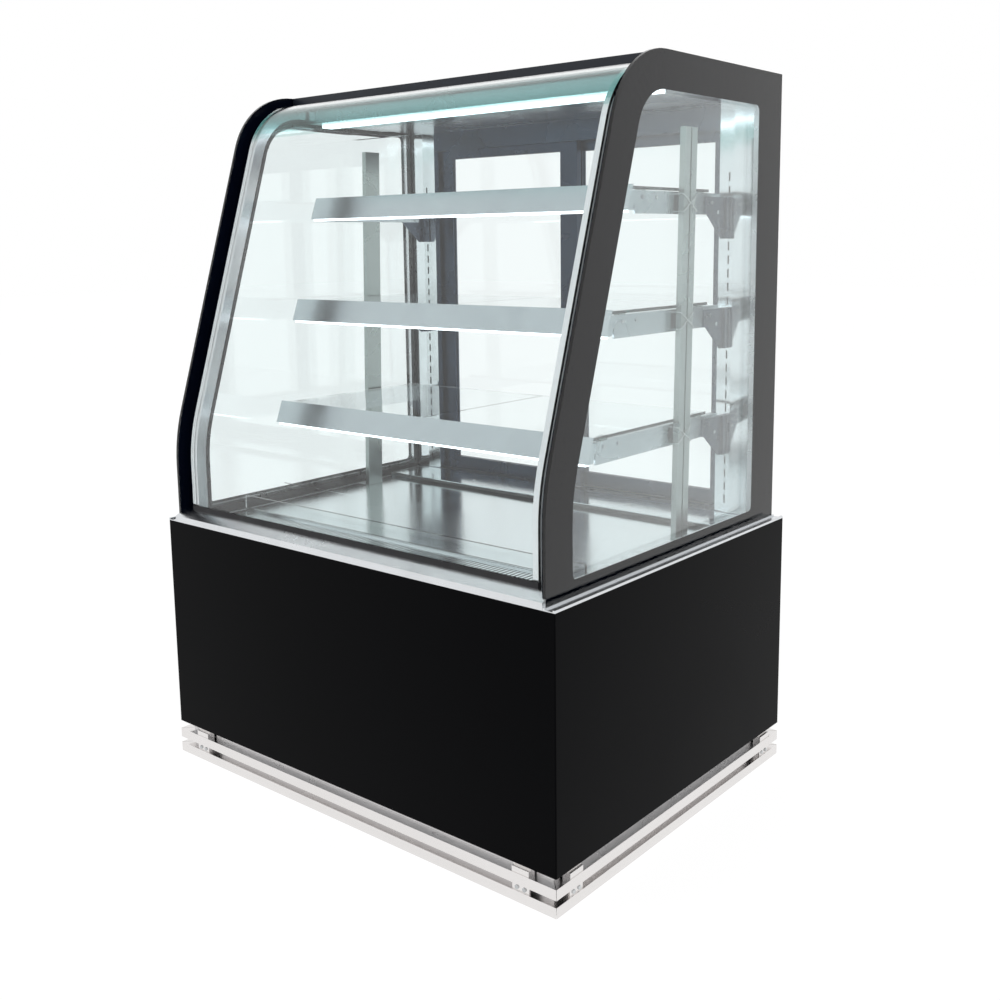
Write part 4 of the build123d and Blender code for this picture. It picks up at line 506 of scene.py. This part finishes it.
class SHOWCASE_OT_top(bpy.types.Operator):
    """Finish the top panel, the canopy and the lamps"""

    bl_idname = "showcase.top"
    bl_label = "Top and lamps"

    def execute(self, context):
        glass = settings()[1]
        top = finish_material(
            "top_lacquer", (0.02, 0.025, 0.035), 0.3, grain=600, depth=0.03, marks=5, specular=0.3,
        )
        dress(top, "top_panel")
        canopy = finish_material(
            "canopy_steel", (0.62, 0.67, 0.70), 0.25, metallic=1.0, stretch=(0.05, 1, 1), grain=400,
            depth=0.05,
        )
        dress(canopy, "canopy_box")
        lamp, shader, nodes, links = new_material("lamp_diffuser")
        shader.inputs["Base Color"].default_value = (0.9, 0.93, 0.96, 1)
        shader.inputs["Roughness"].default_value = 0.4
        shader.inputs["Emission Strength"].default_value = glass.lamp
        dots = put_group(lamp, grain_group(), Stretch=(1, 0.1, 0.1), Scale=90.0, Depth=0.05)
        glow = nodes.new("ShaderNodeMix")
        glow.data_type = "RGBA"
        glow.inputs["A"].default_value = (0.82, 0.93, 1.0, 1)
        glow.inputs["B"].default_value = (0.95, 0.99, 1.0, 1)
        links.new(dots.outputs["Value"], glow.inputs["Factor"])
        links.new(glow.outputs["Result"], shader.inputs["Emission Color"])
        links.new(dots.outputs["Normal"], shader.inputs["Normal"])
        dress(lamp, "lamp_strips")
        return {"FINISHED"}


class SHOWCASE_OT_rear_frame(bpy.types.Operator):
    """Finish the header, jambs, posts and poles"""

    bl_idname = "showcase.rear_frame"
    bl_label = "Rear frame"

    def execute(self, context):
        metal = settings()[0]
        header = finish_material(
            "anodised_header", (0.035, 0.055, 0.085), 0.28, metallic=0.8, stretch=(0.03, 1, 1),
            grain=600, depth=0.05,
        )
        dress(header, "door_header")
        jamb = finish_material(
            "anodised_jamb", (0.30, 0.36, 0.42), 0.25, metallic=1.0, stretch=(1, 1, 0.03),
            grain=600, depth=0.05,
        )
        dress(jamb, "door_jambs")
        post = finish_material(
            "polished_post", (0.80, 0.85, 0.87), 0.12, metallic=1.0, spread=0.05, shade=0.9,
            stretch=(1, 1, 0.05), grain=300, depth=0.03, marks=8,
        )
        dress(post, "rear_posts")
        pole = finish_material(
            "satin_pole", (0.40, 0.46, 0.45), 0.3, metallic=1.0, shade=0.85, stretch=(1, 1, 0.03),
            grain=600, depth=0.06,
        )
        dress(pole, "side_poles")
        return {"FINISHED"}


class SHOWCASE_OT_doors(bpy.types.Operator):
    """Finish the sliding doors"""

    bl_idname = "showcase.doors"
    bl_label = "Sliding doors"

    def execute(self, context):
        metal, glass = settings()[:2]
        frame_finish = finish_material(
            "anodised_door", metal.frame_colour, 0.3, metallic=0.7, shade=0.85,
            stretch=(1, 1, 0.03), grain=600, depth=0.05,
        )
        dress(frame_finish, "left_door_frame", "right_door_frame")
        pane = glass_material("door_glass_clear", glass.tint, glass.edge, (0, 1, 0))
        dress(pane, "left_door_glass", "right_door_glass")
        return {"FINISHED"}


class SHOWCASE_OT_shelves(bpy.types.Operator):
    """Finish the shelves: panes, rails, arms, brackets and pads"""

    bl_idname = "showcase.shelves"
    bl_label = "Shelves"

    def execute(self, context):
        metal, glass = settings()[:2]
        rail = finish_material(
            "satin_rail", metal.rail_colour, 0.22, metallic=1.0, spread=0.05, shade=0.88,
            stretch=(0.03, 1, 1), grain=700, depth=0.05, marks=10,
        )
        dress(rail, "shelf_rails")
        arm = finish_material(
            "satin_arm", metal.rail_colour, 0.26, metallic=1.0, shade=0.85, stretch=(1, 0.03, 1),
            grain=700, depth=0.05,
        )
        dress(arm, "shelf_arms")
        bracket = finish_material(
            "slate_bracket", metal.bracket_colour, 0.32, metallic=0.6, shade=0.75, grain=500,
            depth=0.06, marks=25,
        )
        dress(bracket, "shelf_brackets")
        pane = glass_material("shelf_glass_clear", glass.tint, glass.edge, (0, 0, 1))
        dress(pane, "shelf_glass_lower", "shelf_glass_middle", "shelf_glass_top")
        pad = finish_material("clear_pad", (0.70, 0.74, 0.74), 0.5, grain=900, depth=0.1, marks=60)
        dress(pad, "shelf_pads")
        return {"FINISHED"}


class SHOWCASE_OT_fasteners(bpy.types.Operator):
    """Finish the screws and the wire ties"""

    bl_idname = "showcase.fasteners"
    bl_label = "Fasteners"

    def execute(self, context):
        bright = finish_material(
            "bright_screw", (0.66, 0.68, 0.69), 0.22, metallic=1.0, shade=0.6, grain=900,
            depth=0.08, marks=90,
        )
        dress(bright, "screws")
        wire = finish_material(
            "bright_wire", (0.80, 0.82, 0.82), 0.2, metallic=1.0, grain=900, depth=0.04, marks=60,
        )
        dress(wire, "wire_clips")
        return {"FINISHED"}


class SHOWCASE_OT_stage(bpy.types.Operator):
    """Set the floor, the lamps, the room and the camera"""

    bl_idname = "showcase.stage"
    bl_label = "Stage"

    def execute(self, context):
        stage = settings()[2]
        scene = context.scene
        white, shader, nodes, links = new_material("stage_white")
        shader.inputs["Base Color"].default_value = (0.9, 0.9, 0.9, 1)
        shader.inputs["Roughness"].default_value = 0.9
        shader.inputs["Specular IOR Level"].default_value = 0.1
        # the floor keeps the shadow but shows as bright paper
        glow = nodes.new("ShaderNodeEmission")
        glow.inputs["Strength"].default_value = PAPER_GLOW
        mix = nodes.new("ShaderNodeMixShader")
        share = nodes.new("ShaderNodeMath")
        share.operation = "MULTIPLY"
        share.inputs[1].default_value = PAPER_SHARE
        links.new(shown_rays(nodes, links), share.inputs[0])
        links.new(share.outputs["Value"], mix.inputs["Fac"])
        links.new(shader.outputs["BSDF"], mix.inputs[1])
        links.new(glow.outputs["Emission"], mix.inputs[2])
        links.new(mix.outputs["Shader"], nodes["Material Output"].inputs["Surface"])
        bpy.ops.mesh.primitive_plane_add(size=FLOOR_SIZE, location=(0, 0, -FLOOR_DROP))
        floor = context.object
        floor.name = "stage_floor"
        floor.data.materials.append(white)

        world = bpy.data.worlds.new("room")
        scene.world = world
        world.use_nodes = True
        nodes, links = world.node_tree.nodes, world.node_tree.links
        background = nodes["Background"]
        background.inputs["Color"].default_value = (1, 1, 1, 1)
        level = nodes.new("ShaderNodeMapRange")
        level.inputs["To Min"].default_value = stage.sky
        level.inputs["To Max"].default_value = 1.0
        links.new(shown_rays(nodes, links), level.inputs["Value"])
        links.new(level.outputs["Result"], background.inputs["Strength"])

        for name, power, size, place in (
            ("key", stage.key, KEY_SIZE, KEY_PLACE),
            ("fill", stage.fill, SIDE_LAMP_SIZE, FILL_PLACE),
            ("back", stage.fill * BACK_SHARE, SIDE_LAMP_SIZE, BACK_PLACE),
        ):
            data = bpy.data.lights.new(name, "AREA")
            data.energy = power
            data.size = size
            lamp = bpy.data.objects.new(name, data)
            lamp.location = place
            lamp.visible_glossy = False
            lamp.visible_transmission = False
            aim = Vector(LAMP_AIM) - lamp.location
            lamp.rotation_euler = aim.to_track_quat("-Z", "Y").to_euler()
            scene.collection.objects.link(lamp)

        data = bpy.data.cameras.new("camera")
        data.sensor_width = SENSOR_WIDTH
        data.lens = stage.focal_length
        data.shift_y = CAMERA_SHIFT
        camera = bpy.data.objects.new("camera", data)
        yaw, pitch, roll = (math.radians(d) for d in (CAMERA_YAW, CAMERA_PITCH, CAMERA_ROLL))
        ahead = Vector(
            (-math.sin(yaw) * math.cos(pitch), math.cos(yaw) * math.cos(pitch), -math.sin(pitch)),
        )
        right = Vector((math.cos(yaw), math.sin(yaw), 0))
        up = right.cross(ahead)
        turned = math.cos(roll) * right + math.sin(roll) * up
        upright = -math.sin(roll) * right + math.cos(roll) * up
        basis = Matrix((turned, upright, -ahead)).transposed().to_4x4()
        camera.matrix_world = Matrix.Translation(CAMERA_PLACE) @ basis
        scene.collection.objects.link(camera)
        scene.camera = camera
        scene.view_settings.view_transform = "Standard"
        return {"FINISHED"}


class SHOWCASE_PT_panel(bpy.types.Panel):
    """Lists the showcase's settings and pieces"""

    bl_idname = "SHOWCASE_PT_panel"
    bl_label = "Showcase"
    bl_space_type = "VIEW_3D"
    bl_region_type = "UI"
    bl_category = "Showcase"

    def draw(self, context):
        for group in settings():
            for name in type(group).__annotations__:
                self.layout.prop(group, name)
        for operator in OPERATORS:
            self.layout.operator(operator.bl_idname)


GROUPS = (ShowcaseMetalSettings, ShowcaseGlassSettings, ShowcaseStageSettings)
OPERATORS = (
    SHOWCASE_OT_plinth,
    SHOWCASE_OT_cabinet,
    SHOWCASE_OT_service_panels,
    SHOWCASE_OT_cooling,
    SHOWCASE_OT_deck,
    SHOWCASE_OT_glazing,
    SHOWCASE_OT_top,
    SHOWCASE_OT_rear_frame,
    SHOWCASE_OT_doors,
    SHOWCASE_OT_shelves,
    SHOWCASE_OT_fasteners,
    SHOWCASE_OT_stage,
)


def register():
    """Register the settings, the operators and the panel."""
    for cls in (*GROUPS, *OPERATORS, SHOWCASE_PT_panel):
        bpy.utils.register_class(cls)
    bpy.types.Scene.showcase_metal = PointerProperty(type=ShowcaseMetalSettings)
    bpy.types.Scene.showcase_glass = PointerProperty(type=ShowcaseGlassSettings)
    bpy.types.Scene.showcase_stage = PointerProperty(type=ShowcaseStageSettings)


def unregister():
    """Take them away again."""
    del bpy.types.Scene.showcase_stage
    del bpy.types.Scene.showcase_glass
    del bpy.types.Scene.showcase_metal
    for cls in reversed((*GROUPS, *OPERATORS, SHOWCASE_PT_panel)):
        bpy.utils.unregister_class(cls)


def main():
    """Dress the whole showcase."""
    register()
    for operator in OPERATORS:
        group, name = operator.bl_idname.split(".")
        getattr(getattr(bpy.ops, group), name)()


if __name__ == "__main__":
    main()
